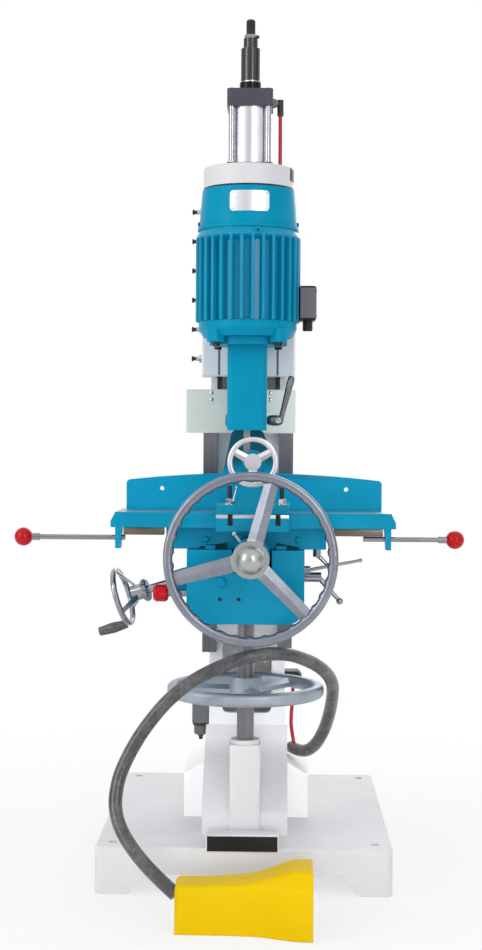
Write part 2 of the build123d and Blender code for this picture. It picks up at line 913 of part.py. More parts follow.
with BuildPart() as bearings:
    for level in bearing_levels:
        with BuildSketch(floor_plane(0, spindle_y, level)):
            Circle(bearing_outer)
            Circle(bearing_bore + running_fit, mode=Mode.SUBTRACT)
        extrude(amount=bearing_width)
save(bearings, "bearings")

stator_level = (bell_top + frame_top - rotor_length) / 2
with BuildPart() as stator:
    with BuildSketch(floor_plane(0, spindle_y, stator_level)):
        Circle(frame_radius - frame_wall)
        Circle(rotor_radius + rotor_gap, mode=Mode.SUBTRACT)
    extrude(amount=rotor_length)
save(stator, "stator")

# Fan cowl: tapered shell with a slotted top
with BuildPart() as fan_cowl:
    with BuildSketch(Plane.XZ.offset(-spindle_y)):
        with BuildLine():
            Polyline(
                (cowl_foot_radius - cowl_wall, cowl_bottom), (cowl_foot_radius, cowl_bottom),
                (cowl_top_radius, cowl_top), (0, cowl_top), (0, cowl_top - cowl_wall),
                (cowl_top_radius - cowl_wall, cowl_top - cowl_wall), close=True,
            )
        make_face()
    revolve(axis=Axis((0, spindle_y, 0), (0, 0, 1)))
    fillet(fan_cowl.faces().sort_by(Axis.Z)[-1].edges(), 2)
    with BuildSketch(floor_plane(0, spindle_y, cowl_top)):
        with PolarLocations(cowl_top_radius * 0.55, cowl_slots):
            SlotOverall(cowl_top_radius * 0.5, 8)
    extrude(amount=-2 * cowl_wall, mode=Mode.SUBTRACT)
save(fan_cowl, "fan_cowl")

# Terminal box on the motor's right, with a cable gland below it
terminal_bottom = bell_top + terminal_rise
with BuildPart() as terminal_box:
    with BuildSketch(Plane.YZ.offset(motor_radius)):
        with Locations((spindle_y, terminal_bottom + terminal_height / 2)):
            RectangleRounded(2 * terminal_half, terminal_height, 5)
    extrude(amount=terminal_reach)
    fillet(terminal_box.faces().sort_by(Axis.X)[-1].edges(), 3)
    with BuildSketch(floor_plane(motor_radius + terminal_reach / 2, spindle_y, terminal_bottom)):
        Circle(gland_radius)
    extrude(amount=-gland_length)
save(terminal_box, "terminal_box")

# Rotor on its shaft
shaft_low = holder_top - 48
shaft_high = cowl_top - cowl_wall - 8
with BuildPart() as rotor_shaft:
    with BuildSketch(floor_plane(0, spindle_y, bearing_levels[0])):
        Circle(bearing_bore)
    extrude(amount=bearing_levels[1] + bearing_width - bearing_levels[0])
    with BuildSketch(floor_plane(0, spindle_y, shaft_low)):
        Circle(shaft_tip_radius)
    extrude(amount=shaft_high - shaft_low)
    with BuildSketch(floor_plane(0, spindle_y, stator_level)):
        Circle(rotor_radius)
    extrude(amount=rotor_length)
save(rotor_shaft, "rotor_shaft")

with BuildPart() as fan:
    fan_bottom = shaft_high - fan_height - 2
    with BuildSketch(floor_plane(0, spindle_y, fan_bottom)):
        Circle(fan_radius)
    extrude(amount=3)
    with BuildSketch(floor_plane(0, spindle_y, fan_bottom)):
        Circle(shaft_tip_radius + 8)
        with PolarLocations(fan_radius * 0.6, fan_blades):
            Rectangle(fan_radius * 0.7, 3)
    extrude(amount=fan_height)
    with BuildSketch(floor_plane(0, spindle_y, fan_bottom)):
        Circle(shaft_tip_radius + running_fit)
    extrude(amount=fan_height, mode=Mode.SUBTRACT)
save(fan, "fan")

# Chuck on the shaft's end and the auger bit in it
chuck_top = shaft_low + 30
chuck_bottom = chuck_top - chuck_length
auger_top = chuck_bottom + 32
with BuildPart() as chuck:
    with BuildSketch(floor_plane(0, spindle_y, chuck_bottom)):
        Circle(chuck_radius)
    extrude(amount=chuck_length)
    chamfer(chuck.edges().filter_by(GeomType.CIRCLE).sort_by(Axis.Z)[0], 6)
    with BuildSketch(floor_plane(0, spindle_y, shaft_low)):
        Circle(shaft_tip_radius + running_fit)
    extrude(amount=chuck_top - shaft_low, mode=Mode.SUBTRACT)
    with BuildSketch(floor_plane(0, spindle_y, chuck_bottom)):
        Circle(auger_radius + running_fit)
    extrude(amount=auger_top - chuck_bottom, mode=Mode.SUBTRACT)
save(chuck, "chuck")

with BuildPart() as auger_bit:
    with BuildSketch(floor_plane(0, spindle_y, chisel_tip - 2)):
        Circle(auger_radius)
    extrude(amount=auger_top - chisel_tip + 2)
    with BuildSketch(floor_plane(0, spindle_y, chisel_tip - 5)):
        Circle(cutter_radius)
    extrude(amount=3)
    with BuildSketch(floor_plane(0, spindle_y, auger_tip)):
        Circle(0.6)
    with BuildSketch(floor_plane(0, spindle_y, chisel_tip - 5)):
        Circle(2)
    loft()
save(auger_bit, "auger_bit")

chisel_lever = lever(
    Plane((holder_half, spindle_y, holder_bottom + chisel_lever_rise), x_dir=(0, 0, 1), z_dir=(1, 0, 0)),
    chisel_lever_hub, chisel_lever_reach, chisel_lever_arm, 14, 7, 5.5, 7.2,
)
save(chisel_lever, "chisel_lever")

# Knee: box on the rails with arms round them, crank boss on the left, notch for the pinion
crank_lean = radians(crank_tilt)
crank_turn = radians(crank_back_turn)
crank_plane = Plane(
    origin=(-knee_half, knee_front + crank_setback, knee_top - crank_drop),
    x_dir=(sin(crank_turn), cos(crank_turn), 0),
    z_dir=(-cos(crank_lean) * cos(crank_turn), cos(crank_lean) * sin(crank_turn), -sin(crank_lean)),
)
arm_inner = rail_outer + slide_gap
notch_half = shaft_boss_radius + notch_gap
notch_back = rack_y + pinion_width / 2 + saddle_travel_back + notch_gap + 2
with BuildPart() as knee:
    with BuildSketch(front_plane(rail_front - slide_gap)):
        with Locations((0, (knee_bottom + knee_top) / 2)):
            Rectangle(2 * knee_half, knee_height)
    extrude(amount=knee_reach - slide_gap)
    with BuildSketch(front_plane(column_front + slide_gap)):
        with Locations((0, (knee_bottom + knee_top) / 2)):
            with GridLocations(knee_half + arm_inner, 0, 2, 1):
                Rectangle(knee_half - arm_inner, knee_height)
    extrude(amount=rail_depth + 2 * slide_gap)
    lowest = knee.edges().filter_by(Axis.Y).group_by(Axis.Z)[0]
    fillet(lowest.filter_by(lambda edge: abs(edge.center().X) > arm_inner + 1), knee_round)
    with BuildSketch(floor_plane(0, (knee_front + rail_front) / 2, knee_bottom)):
        Rectangle(2 * (knee_half - knee_round), knee_reach - 2 * knee_wall)
    extrude(amount=knee_height * 0.45, mode=Mode.SUBTRACT)
    with BuildSketch(floor_plane(0, lift_y, knee_bottom)):
        Circle(screw_radius + knee_wall)
    extrude(amount=knee_height * 0.5)
    with BuildSketch(crank_plane.offset(-crank_boss_radius)):
        Circle(crank_boss_radius)
    extrude(amount=crank_boss_length + crank_boss_radius)
    with BuildSketch(crank_plane.offset(-crank_boss_radius)):
        Circle(crank_shaft_radius + running_fit)
    extrude(amount=crank_boss_length + crank_boss_radius, mode=Mode.SUBTRACT)
    with BuildSketch(floor_plane(0, lift_y, knee_bottom)):
        Circle(screw_journal_radius + running_fit)
    extrude(amount=knee_height * 0.4, mode=Mode.SUBTRACT)
    with BuildSketch(floor_plane(shaft_x, (knee_front + notch_back) / 2, knee_top)):
        Rectangle(2 * notch_half, notch_back - knee_front)
    extrude(amount=-(shaft_boss_radius + shaft_drop + notch_gap), mode=Mode.SUBTRACT)
    with BuildSketch(floor_plane(0, (knee_front + rail_front) / 2, knee_top)):
        with GridLocations(ridge_spacing, 0, 2, 1):
            Rectangle(2 * ridge_half, knee_reach - 2 * knee_wall)
    extrude(amount=ridge_height)
save(knee, "knee")

# Keeper plates that hook behind the rails
with BuildPart() as knee_keepers:
    with BuildSketch(front_plane(column_front + slide_gap)):
        with Locations((0, (knee_bottom + knee_top) / 2)):
            with GridLocations(knee_half + column_half + 2, 0, 2, 1):
                Rectangle(knee_half - column_half - 2, knee_height - 2 * knee_round)
    extrude(amount=-keeper_depth)
save(knee_keepers, "knee_keepers")

# Lift screw: thread below, journal in the knee
with BuildPart() as lift_screw:
    with BuildSketch(floor_plane(0, lift_y, post_top - screw_tail)):
        Circle(screw_radius)
    extrude(amount=knee_bottom - slide_gap - post_top + screw_tail)
    with BuildSketch(floor_plane(0, lift_y, knee_bottom - slide_gap)):
        Circle(screw_journal_radius)
    extrude(amount=knee_height * 0.4)
save(lift_screw, "lift_screw")

lift_wheel = handwheel(
    floor_plane(0, lift_y, lift_wheel_z), lift_wheel_radius, lift_wheel_rim, lift_wheel_rim_height, 0,
    lift_hub_radius, -lift_hub_length / 2, lift_hub_length / 2, screw_radius + running_fit,
    lift_spoke_width, 3, 50,
)
save(lift_wheel, "lift_wheel")

# Saddle: plate on the knee's ridges, channel for the rack and a boss for the pinion shaft
shaft_plane = Plane(origin=(shaft_x, 0, shaft_z), x_dir=(1, 0, 0), z_dir=(0, -1, 0))
channel_half = rack_width / 2 + channel_gap
rack_pitch_z = shaft_z + pinion_pitch_radius
with BuildPart() as saddle:
    with BuildSketch(floor_plane(0, (saddle_front + saddle_back) / 2, knee_top + slide_gap)):
        RectangleRounded(2 * saddle_half, saddle_depth, 8)
    extrude(amount=saddle_height - slide_gap)
    with BuildSketch(shaft_plane.offset(-saddle_front - channel_half)):
        Circle(shaft_boss_radius)
    extrude(amount=channel_half + shaft_boss_reach)
    with BuildSketch(floor_plane(0, (saddle_front + saddle_back) / 2, knee_top)):
        with GridLocations(ridge_spacing, 0, 2, 1):
            Rectangle(2 * (ridge_half + slide_gap), saddle_depth)
    extrude(amount=ridge_height + clear_gap, mode=Mode.SUBTRACT)
    with BuildSketch(floor_plane(0, rack_y, rack_pitch_z - tooth_module - clear_gap)):
        Rectangle(2 * saddle_half, 2 * channel_half)
    extrude(amount=saddle_height, mode=Mode.SUBTRACT)
    with BuildSketch(shaft_plane.offset(-rack_y - channel_half)):
        Circle(pinion_pitch_radius + tooth_module + 2)
    extrude(amount=2 * channel_half, mode=Mode.SUBTRACT)
    with BuildSketch(shaft_plane.offset(-saddle_back)):
        Circle(shaft_radius + running_fit)
    extrude(amount=saddle_depth + shaft_boss_reach, mode=Mode.SUBTRACT)
save(saddle, "saddle")

# Pinion cut on the large handwheel's shaft
tooth_flank = (
    (pinion_pitch_radius - 1.25 * tooth_module, 5.0), (pinion_pitch_radius - 0.47 * tooth_module, 5.6),
    (pinion_pitch_radius, 4.8), (pinion_pitch_radius + 0.85 * tooth_module, 1.9),
)
pinion_outline = []
for i in range(pinion_teeth):
    middle = 90 - 360 * i / pinion_teeth
    for reach, half in tooth_flank:
        pinion_outline.append((reach * cos(radians(middle + half)), reach * sin(radians(middle + half))))
    for reach, half in reversed(tooth_flank):
        pinion_outline.append((reach * cos(radians(middle - half)), reach * sin(radians(middle - half))))
with BuildPart() as pinion_shaft:
    with BuildSketch(shaft_plane.offset(-rack_y - pinion_width / 2)):
        with BuildLine():
            Polyline(*pinion_outline, close=True)
        make_face()
    extrude(amount=pinion_width)
    with BuildSketch(shaft_plane.offset(-rack_y)):
        Circle(shaft_radius)
    extrude(amount=rack_y - large_wheel_y + large_hub_length / 2)
save(pinion_shaft, "pinion_shaft")

plain_wheel = handwheel(
    shaft_plane.offset(-large_wheel_y), large_wheel_radius, large_wheel_rim, large_wheel_rim_depth, 0,
    large_hub_radius, -large_hub_length / 2, large_hub_length / 2, shaft_radius + running_fit,
    large_spoke_width, 3, 75,
)
with BuildPart() as large_wheel:
    add(plain_wheel.part)
    with Locations((shaft_x, large_wheel_y - large_hub_length / 2, shaft_z)):
        Sphere(large_ball_radius)
    with BuildSketch(shaft_plane.offset(-large_wheel_y - large_hub_length / 2)):
        Circle(shaft_radius + running_fit)
    extrude(amount=large_hub_length, mode=Mode.SUBTRACT)
save(large_wheel, "large_wheel")

# Table with sloping ends at the front and a leg under each for the stop rods
with BuildPart() as table:
    with BuildSketch(floor_plane(table_offset, (table_front + table_back) / 2, table_bottom)):
        Rectangle(table_length, table_back - table_front)
    extrude(amount=table_thickness)
    for side in (-1, 1):
        edge = table_offset + side * table_length / 2
        nose = edge + side * end_slope
        leg_inner = edge - side * leg_thickness
        with BuildSketch(front_plane(table_front + leg_depth)):
            with BuildLine():
                Polyline(
                    (edge, table_top), (nose, table_top - end_fall), (nose, table_bottom),
                    (edge, table_bottom), (edge, leg_bottom), (leg_inner + side * leg_taper, leg_bottom),
                    (leg_inner, table_bottom), (leg_inner, table_top), close=True,
                )
            make_face()
        extrude(amount=leg_depth)
    with BuildSketch(Plane.YZ.offset(table_left - end_slope)):
        with Locations((rod_y, rod_z)):
            Circle(rod_radius + running_fit)
    extrude(amount=table_length + 2 * end_slope, mode=Mode.SUBTRACT)
save(table, "table")

# Rack under the table, its first space over the pinion's top tooth
rack_pitch = pi * tooth_module
rack_outline = [(shaft_x - rack_reach, table_bottom)]
rack_teeth = int(rack_reach / rack_pitch)
root_half = (rack_pitch / 2 - 0.5) / 2 + 1.25 * tooth_module * tan(radians(20))
tip_half = (rack_pitch / 2 - 0.5) / 2 - 0.85 * tooth_module * tan(radians(20))
rack_outline.append((shaft_x - rack_reach, rack_pitch_z + 1.25 * tooth_module))
for i in range(-rack_teeth, rack_teeth):
    middle = shaft_x + (i + 0.5) * rack_pitch
    rack_outline.append((middle - root_half, rack_pitch_z + 1.25 * tooth_module))
    rack_outline.append((middle - tip_half, rack_pitch_z - 0.85 * tooth_module))
    rack_outline.append((middle + tip_half, rack_pitch_z - 0.85 * tooth_module))
    rack_outline.append((middle + root_half, rack_pitch_z + 1.25 * tooth_module))
rack_outline.append((shaft_x + rack_reach, rack_pitch_z + 1.25 * tooth_module))
rack_outline.append((shaft_x + rack_reach, table_bottom))
with BuildPart() as table_rack:
    with BuildSketch(front_plane(rack_y + rack_width / 2)):
        with BuildLine():
            Polyline(*rack_outline, close=True)
        make_face()
    extrude(amount=rack_width)
save(table_rack, "table_rack")

# Fence with a crowned top and round corners, a rear foot, two board holes and the raised middle
fence_top = table_top + fence_end_height
fence_left = table_offset - fence_length / 2
fence_right = table_offset + fence_length / 2
hump_top = table_top + hump_rise
hump_middle = table_offset + hump_offset
with BuildPart() as fence:
    with BuildSketch(front_plane(fence_back)) as fence_outline:
        with BuildLine():
            Polyline(
                (fence_right, fence_top), (fence_right, table_top),
                (fence_left, table_top), (fence_left, fence_top),
            )
            ThreePointArc(
                (fence_left, fence_top), (table_offset, fence_top + fence_crown), (fence_right, fence_top)
            )
        make_face()
        fillet(fence_outline.vertices().group_by(Axis.Y)[-1], fence_corner)
    extrude(amount=fence_thickness)
    with BuildSketch(front_plane(fence_back)) as hump_outline:
        with BuildLine():
            Polyline(
                (hump_middle - hump_left_foot, table_top), (hump_middle + hump_right_foot, table_top),
                (hump_middle + hump_right_foot, fence_top), (hump_middle + hump_top_half, hump_top),
                (hump_middle - hump_top_half, hump_top), (hump_middle - hump_left_foot, fence_top),
                close=True,
            )
        make_face()
        fillet(hump_outline.vertices().group_by(Axis.Y)[-1], hump_corner)
    extrude(amount=fence_thickness)
    with BuildSketch(floor_plane(table_offset, (fence_back + table_back) / 2, table_top)):
        Rectangle(fence_length, fence_flange)
    extrude(amount=fence_flange_height)
    with BuildSketch(front_plane(fence_back)):
        with Locations((table_offset, table_top + fence_hole_rise)):
            with GridLocations(fence_hole_spacing, 0, 2, 1):
                Circle(fence_hole_radius)
    extrude(amount=fence_thickness, mode=Mode.SUBTRACT)
save(fence, "fence")

# Clamp bracket: stepped block over the table's front edge and an upright for the screw
clamp_top = table_top + clamp_top_step
clamp_step = clamp_top - clamp_step_height
clamp_bottom = clamp_top - clamp_height
clamp_front = table_front - clamp_reach
clamp_back = table_front + clamp_lap
with BuildPart() as clamp_bracket:
    with BuildSketch(Plane.YZ.offset(table_offset - clamp_half)):
        with BuildLine():
            Polyline(
                (clamp_front, clamp_bottom), (table_front, clamp_bottom), (table_front, table_top),
                (clamp_back, table_top), (clamp_back, clamp_top), (clamp_front + clamp_step_depth, clamp_top),
                (clamp_front + clamp_step_depth, clamp_step), (clamp_front, clamp_step), close=True,
            )
        make_face()
    extrude(amount=2 * clamp_half)
    with BuildSketch(front_plane(upright_back)):
        with BuildLine():
            Polyline(
                (table_offset - upright_half, table_top), (table_offset + upright_half, table_top),
                (table_offset + clamp_boss_radius, clamp_z), (table_offset - clamp_boss_radius, clamp_z),
                close=True,
            )
        make_face()
        with Locations((table_offset, clamp_z)):
            Circle(clamp_boss_radius)
    extrude(amount=upright_thickness)
    with BuildSketch(front_plane(upright_back)):
        with Locations((table_offset, clamp_z)):
            Circle(clamp_screw_radius + running_fit)
    extrude(amount=upright_thickness, mode=Mode.SUBTRACT)
save(clamp_bracket, "clamp_bracket")

# Clamp pad behind the upright, and the screw with its small handwheel
pad_front = upright_back + clear_gap
clamp_plane = Plane(origin=(table_offset, 0, clamp_z), x_dir=(1, 0, 0), z_dir=(0, -1, 0))
with BuildPart() as clamp_pad:
    with BuildSketch(clamp_plane.offset(-pad_front - clamp_pad_length)):
        Circle(clamp_pad_radius)
    extrude(amount=clamp_pad_length)
    with BuildSketch(clamp_plane.offset(-pad_front - clamp_pad_length / 2)):
        Circle(clamp_screw_radius - 3 + running_fit)
    extrude(amount=clamp_pad_length / 2, mode=Mode.SUBTRACT)
save(clamp_pad, "clamp_pad")

clamp_hub_middle = clamp_wheel_y + clamp_hub_length / 2
small_wheel = handwheel(
    clamp_plane.offset(-clamp_hub_middle), clamp_wheel_radius, clamp_wheel_rim, clamp_wheel_rim, 0,
    clamp_hub_radius, -clamp_hub_length / 2, clamp_hub_length / 2, clamp_screw_radius,
    clamp_spoke_width, 3, 30,
)
with BuildPart() as clamp_wheel:
    add(small_wheel.part)
    with BuildSketch(clamp_plane.offset(-pad_front)):
        Circle(clamp_screw_radius)
    extrude(amount=pad_front - clamp_wheel_y)
    with BuildSketch(clamp_plane.offset(-pad_front - clamp_pad_length / 2)):
        Circle(clamp_screw_radius - 3)
    extrude(amount=clamp_pad_length / 2)
save(clamp_wheel, "clamp_wheel")

# Stop rods with red ball knobs, the left one drawn out and the right one pushed in
rod_starts = {
    "left": (table_left + leg_thickness + rod_inset, left_rod_length, -1),
    "right": (table_right - right_rod_in, right_rod_length, 1),
}
for side, (inner_end, rod_length, sign) in rod_starts.items():
    rod_plane = Plane(origin=(inner_end, rod_y, rod_z), x_dir=(0, 1, 0), z_dir=(sign, 0, 0))
    with BuildPart() as stop_rod:
        with BuildSketch(rod_plane):
            Circle(rod_radius)
        extrude(amount=rod_length)
        with BuildSketch(rod_plane.offset(rod_length)):
            Circle(ferrule_radius)
        extrude(amount=ferrule_length)
    save(stop_rod, f"{side}_stop_rod")
    ball_middle = inner_end + sign * (rod_length + ferrule_length - ball_socket + ball_radius)
    with BuildPart() as stop_ball:
        with Locations((ball_middle, rod_y, rod_z)):
            Sphere(ball_radius, rotation=(0, 90, 0))
        with BuildSketch(rod_plane.offset(rod_length)):
            Circle(ferrule_radius + running_fit)
        extrude(amount=ferrule_length, mode=Mode.SUBTRACT)
    save(stop_ball, f"{side}_stop_ball")

# Crank handwheel on its sloping shaft, with a loose grip on the rim
dished_wheel = handwheel(
    crank_plane.offset(crank_hub_distance), crank_wheel_radius, crank_rim, crank_rim, crank_dish,
    crank_hub_radius, -crank_hub_length / 2, crank_hub_length / 2, crank_shaft_radius,
    crank_spoke_width, 3, 30,
)
rim_plane = crank_plane.offset(crank_hub_distance + crank_dish)
grip_origin = rim_plane.origin + rim_plane.y_dir * (crank_wheel_radius - crank_rim / 2)
grip_plane = Plane(grip_origin, x_dir=crank_plane.x_dir, z_dir=crank_plane.z_dir)
with BuildPart() as crank_wheel:
    add(dished_wheel.part)
    with BuildSketch(crank_plane.offset(-crank_boss_radius)):
        Circle(crank_shaft_radius)
    extrude(amount=crank_hub_distance + crank_boss_radius + crank_hub_length / 2)
    with BuildSketch(grip_plane):
        Circle(crank_pin_radius)
    extrude(amount=crank_grip_length)
save(crank_wheel, "crank_wheel")

with BuildPart() as crank_grip:
    with BuildSketch(grip_plane.offset(8)):
        Circle(crank_grip_radius * 0.75)
    with BuildSketch(grip_plane.offset(crank_grip_length * 0.6)):
        Circle(crank_grip_radius)
    with BuildSketch(grip_plane.offset(crank_grip_length + 6)):
        Circle(crank_grip_radius * 0.8)
    loft(ruled=True)
    with BuildSketch(grip_plane):
        Circle(crank_pin_radius + running_fit)
    extrude(amount=crank_grip_length + running_fit, mode=Mode.SUBTRACT)
save(crank_grip, "crank_grip")

# Lock levers on the right and the red knob on the left
knee_lever_seat = (knee_half, knee_front + knee_lever_setback, knee_top - knee_lever_drop)
knee_lever = lever(
    Plane(knee_lever_seat, x_dir=(0, 0, -1), z_dir=(1, 0, 0)),
    knee_lever_hub, knee_lever_reach, knee_lever_arm, 42, 4, 5.5, 7,
)
save(knee_lever, "knee_lever")
saddle_lever_seat = (
    saddle_half - saddle_lever_inset, saddle_front + saddle_lever_setback, knee_top + slide_gap
)
saddle_lever = lever(
    Plane(saddle_lever_seat, x_dir=(1, 0, 0), z_dir=(0, 0, -1)), saddle_lever_hub, saddle_lever_reach,
    saddle_lever_arm, 45, 3.5, 4.5, 5,
)
save(saddle_lever, "saddle_lever")
lock_rod_seat = (knee_half, knee_front + lock_rod_setback, knee_top - lock_rod_drop)
lock_rod = lever(
    Plane(lock_rod_seat, x_dir=(0, 0, 1), z_dir=(1, 0, 0)),
    lock_rod_hub, lock_rod_reach, lock_rod_arm, 79, 3, 3.5, 4,
)
save(lock_rod, "lock_rod")

knob_seat = (-knee_half, knee_front + knob_setback, knee_top - knob_drop)
knob_plane = Plane(knob_seat, x_dir=(0, 1, 0), z_dir=(-1, 0, 0))
with BuildPart() as lock_knob:
    with BuildSketch(knob_plane):
        Circle(ferrule_radius)
    extrude(amount=knob_reach)
    with BuildSketch(knob_plane.offset(knob_reach - knob_length / 2)):
        Circle(knob_radius)
    extrude(amount=knob_length)
    rims = lock_knob.edges().filter_by(GeomType.CIRCLE).group_by(SortBy.RADIUS)[-1]
    fillet(rims, knob_round)
save(lock_knob, "lock_knob")

# Foot pedal: bottom plate with ears, hood and sprung treadle
hood_sections = (
    (pedal_left, 40, 80, 35, 87), (-20, 42, 82, 36, 90), (35, 48, 84, 38, 98), (90, 70, 86, 45, 116),
    (pedal_right, 76, 88, 47, 118),
)


def hood_solid(inset, sections):
    with BuildPart() as solid:
        for x, half, shoulder, top_half, height in sections:
            front = pedal_y - half + inset
            back = pedal_y + half - inset
            with BuildSketch(Plane.YZ.offset(x)):
                with BuildLine():
                    Polyline(
                        (front, pedal_plate), (back, pedal_plate), (back, shoulder - inset),
                        (pedal_y + top_half - inset, height - inset),
                        (pedal_y - top_half + inset, height - inset), (front, shoulder - inset), close=True,
                    )
                make_face()
        loft(ruled=True)
    return solid


inner_sections = [(pedal_left + hood_wall, *hood_sections[0][1:]), *hood_sections[1:]]
hood_hollow = hood_solid(hood_wall, inner_sections)
hood_outside = hood_solid(0, hood_sections)
with BuildPart() as pedal_hood:
    add(hood_outside.part)
    add(hood_hollow.part, mode=Mode.SUBTRACT)
save(pedal_hood, "pedal_hood")

ear_middle = treadle_half + clear_gap + ear_thickness / 2
with BuildPart() as pedal_base:
    with BuildSketch():
        with BuildLine():
            Polyline(
                *[(x, pedal_y - half) for x, half, *_ in hood_sections],
                *[(x, pedal_y + half) for x, half, *_ in reversed(hood_sections)], close=True,
            )
        make_face()
    extrude(amount=pedal_plate)
    with BuildSketch(floor_plane(treadle_pivot_x, pedal_y, pedal_plate)):
        with GridLocations(0, 2 * ear_middle, 1, 2):
            Rectangle(2 * ear_half, ear_thickness)
    extrude(amount=treadle_pivot_rise + ear_half - pedal_plate)
    with BuildSketch(front_plane(pedal_y + treadle_half + 20)):
        with Locations((treadle_pivot_x, treadle_pivot_rise)):
            Circle(treadle_pin_radius + running_fit)
    extrude(amount=2 * treadle_half + 40, mode=Mode.SUBTRACT)
save(pedal_base, "pedal_base")

treadle_middle = treadle_pivot_x + treadle_length / 2
with BuildPart() as treadle:
    with BuildSketch(floor_plane(treadle_middle, pedal_y, treadle_pivot_rise - treadle_thickness / 2)):
        RectangleRounded(treadle_length, 2 * treadle_half, 4)
    extrude(amount=treadle_thickness)
    with BuildSketch(front_plane(pedal_y + ear_middle + ear_thickness / 2)):
        with Locations((treadle_pivot_x, treadle_pivot_rise)):
            Circle(treadle_pin_radius)
    extrude(amount=2 * ear_middle + ear_thickness)
save(treadle, "treadle")
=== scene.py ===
import bmesh
import bpy
from math import cos, radians, sin, sqrt, tau
from mathutils import Matrix, Vector
from mathutils.bvhtree import BVHTree


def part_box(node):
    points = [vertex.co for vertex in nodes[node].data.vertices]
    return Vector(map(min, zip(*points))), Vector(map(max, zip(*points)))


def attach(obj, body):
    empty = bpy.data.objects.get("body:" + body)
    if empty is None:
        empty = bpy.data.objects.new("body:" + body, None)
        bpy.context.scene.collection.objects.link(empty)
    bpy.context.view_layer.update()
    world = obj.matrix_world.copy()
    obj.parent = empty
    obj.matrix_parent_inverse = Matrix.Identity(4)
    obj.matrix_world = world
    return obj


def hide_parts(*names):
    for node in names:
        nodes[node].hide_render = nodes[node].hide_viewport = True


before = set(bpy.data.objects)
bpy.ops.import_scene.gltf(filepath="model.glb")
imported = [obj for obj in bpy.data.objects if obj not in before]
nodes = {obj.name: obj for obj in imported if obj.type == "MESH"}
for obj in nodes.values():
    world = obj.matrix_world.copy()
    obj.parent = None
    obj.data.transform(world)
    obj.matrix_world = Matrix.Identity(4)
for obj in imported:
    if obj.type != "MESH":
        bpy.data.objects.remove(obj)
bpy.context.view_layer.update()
scene = bpy.context.scene
scene.view_settings.view_transform = "Standard"
up, down = Vector((0, 0, 1)), Vector((0, 0, -1))
left, right = Vector((-1, 0, 0)), Vector((1, 0, 0))
near, far = Vector((0, -1, 0)), Vector((0, 1, 0))
print("frame loaded,", len(nodes), "nodes")


def mm(*values):
    return tuple(v / 1000 for v in values)


def table(keys, rows):  # each named row becomes a dictionary under these keys
    return {name: dict(zip(keys, row)) for name, row in rows.items()}


def tone(chart):  # a colour as a paint chart gives it, 0 to 255
    shares = [v / 255 for v in chart]
    return (*[s / 12.92 if s <= 0.04045 else ((s + 0.055) / 1.055) ** 2.4 for s in shares], 1)


def operator(operation, swapped=False):  # a Math node between a socket and another value
    def wired(self, other):
        first, second = (other, self) if swapped else (self, other)
        return self.bench.node("ShaderNodeMath", {0: first, 1: second}, operation=operation)
    return wired


class Wire:  # one shader socket; sums on it add Math nodes
    __add__, __radd__ = operator("ADD"), operator("ADD", True)
    __sub__, __rsub__ = operator("SUBTRACT"), operator("SUBTRACT", True)
    __mul__, __rmul__ = operator("MULTIPLY"), operator("MULTIPLY", True)
    __truediv__ = operator("DIVIDE")
    __gt__, __lt__ = operator("GREATER_THAN"), operator("LESS_THAN")

    def __init__(self, bench, socket):
        self.bench, self.socket = bench, socket

    def held(self):  # kept between 0 and 1
        return self.bench.node("ShaderNodeClamp", {"Value": self})

    def between(self, low, high):  # 0 below low, 1 above high
        return ((self - low) / (high - low)).held()


class Bench:  # one node tree while it is being wired
    def __init__(self, tree):
        self.tree = tree

    def node(self, kind, sockets=None, out=0, **settings):
        made = self.tree.nodes.new(kind)
        for key, value in settings.items():
            setattr(made, key, value)
        for key, value in (sockets or {}).items():
            self.plug(made.inputs[key], value)
        return Wire(self, made.outputs[out])

    def plug(self, socket, value):
        if isinstance(value, Wire):
            self.tree.links.new(value.socket, socket)
        else:
            socket.default_value = value

    def fed(self, key):  # what a shader input is fed by so far
        return Wire(self, self.shader.inputs[key].links[0].from_socket)

    def vector(self, operation, first, second=(0, 0, 0), out=0):
        return self.node("ShaderNodeVectorMath", {0: first, 1: second}, out, operation=operation)

    def rays(self, kind):
        return self.node("ShaderNodeLightPath", out=f"Is {kind} Ray")

    def spot(self):  # place on the machine, in metres
        return self.node("ShaderNodeTexCoord", out="Object")

    def side(self):  # the surface's own direction
        return self.node("ShaderNodeNewGeometry", out="Normal")

    def along(self, letter):
        return self.node("ShaderNodeSeparateXYZ", {0: self.spot()}, letter)

    def facing(self, letter):
        return self.node("ShaderNodeSeparateXYZ", {0: self.side()}, letter)

    def distance(self, middle, across):  # from a line through middle, measured along the axes set in across
        flat = self.vector("MULTIPLY", self.vector("SUBTRACT", self.spot(), middle), across)
        return self.vector("LENGTH", flat, out="Value")

    def noise(self, scale, detail=2, stretch=(1, 1, 1), roughness=0.5):
        place = self.vector("MULTIPLY", self.spot(), stretch)
        sockets = {"Vector": place, "Scale": scale, "Detail": detail, "Roughness": roughness}
        return self.node("ShaderNodeTexNoise", sockets)

    def mix(self, mask, first, second):
        return self.node("ShaderNodeMix", {0: mask, 6: first, 7: second}, 2, data_type="RGBA")

    def softEdge(self, radius):  # rounds hard casting edges in the shading
        return self.node("ShaderNodeBevel", {"Radius": radius}, samples=4)

    def edge(self, rounded, sharpness=9):  # 1 along edges, 0 on flats
        same = self.vector("DOT_PRODUCT", rounded, self.side(), "Value")
        return ((1 - same) * sharpness).held()

    def bump(self, height, depth, strength, under=None):
        sockets = {"Height": height, "Distance": depth, "Strength": strength}
        if under is not None:
            sockets["Normal"] = under
        return self.node("ShaderNodeBump", sockets)


def finish(name, values):  # a material from its Principled values, wired further by the caller
    made = bpy.data.materials.new(name)
    made.use_nodes = True
    bench = Bench(made.node_tree)
    bench.material = made
    bench.shader = made.node_tree.nodes["Principled BSDF"]
    return fill(bench, values)


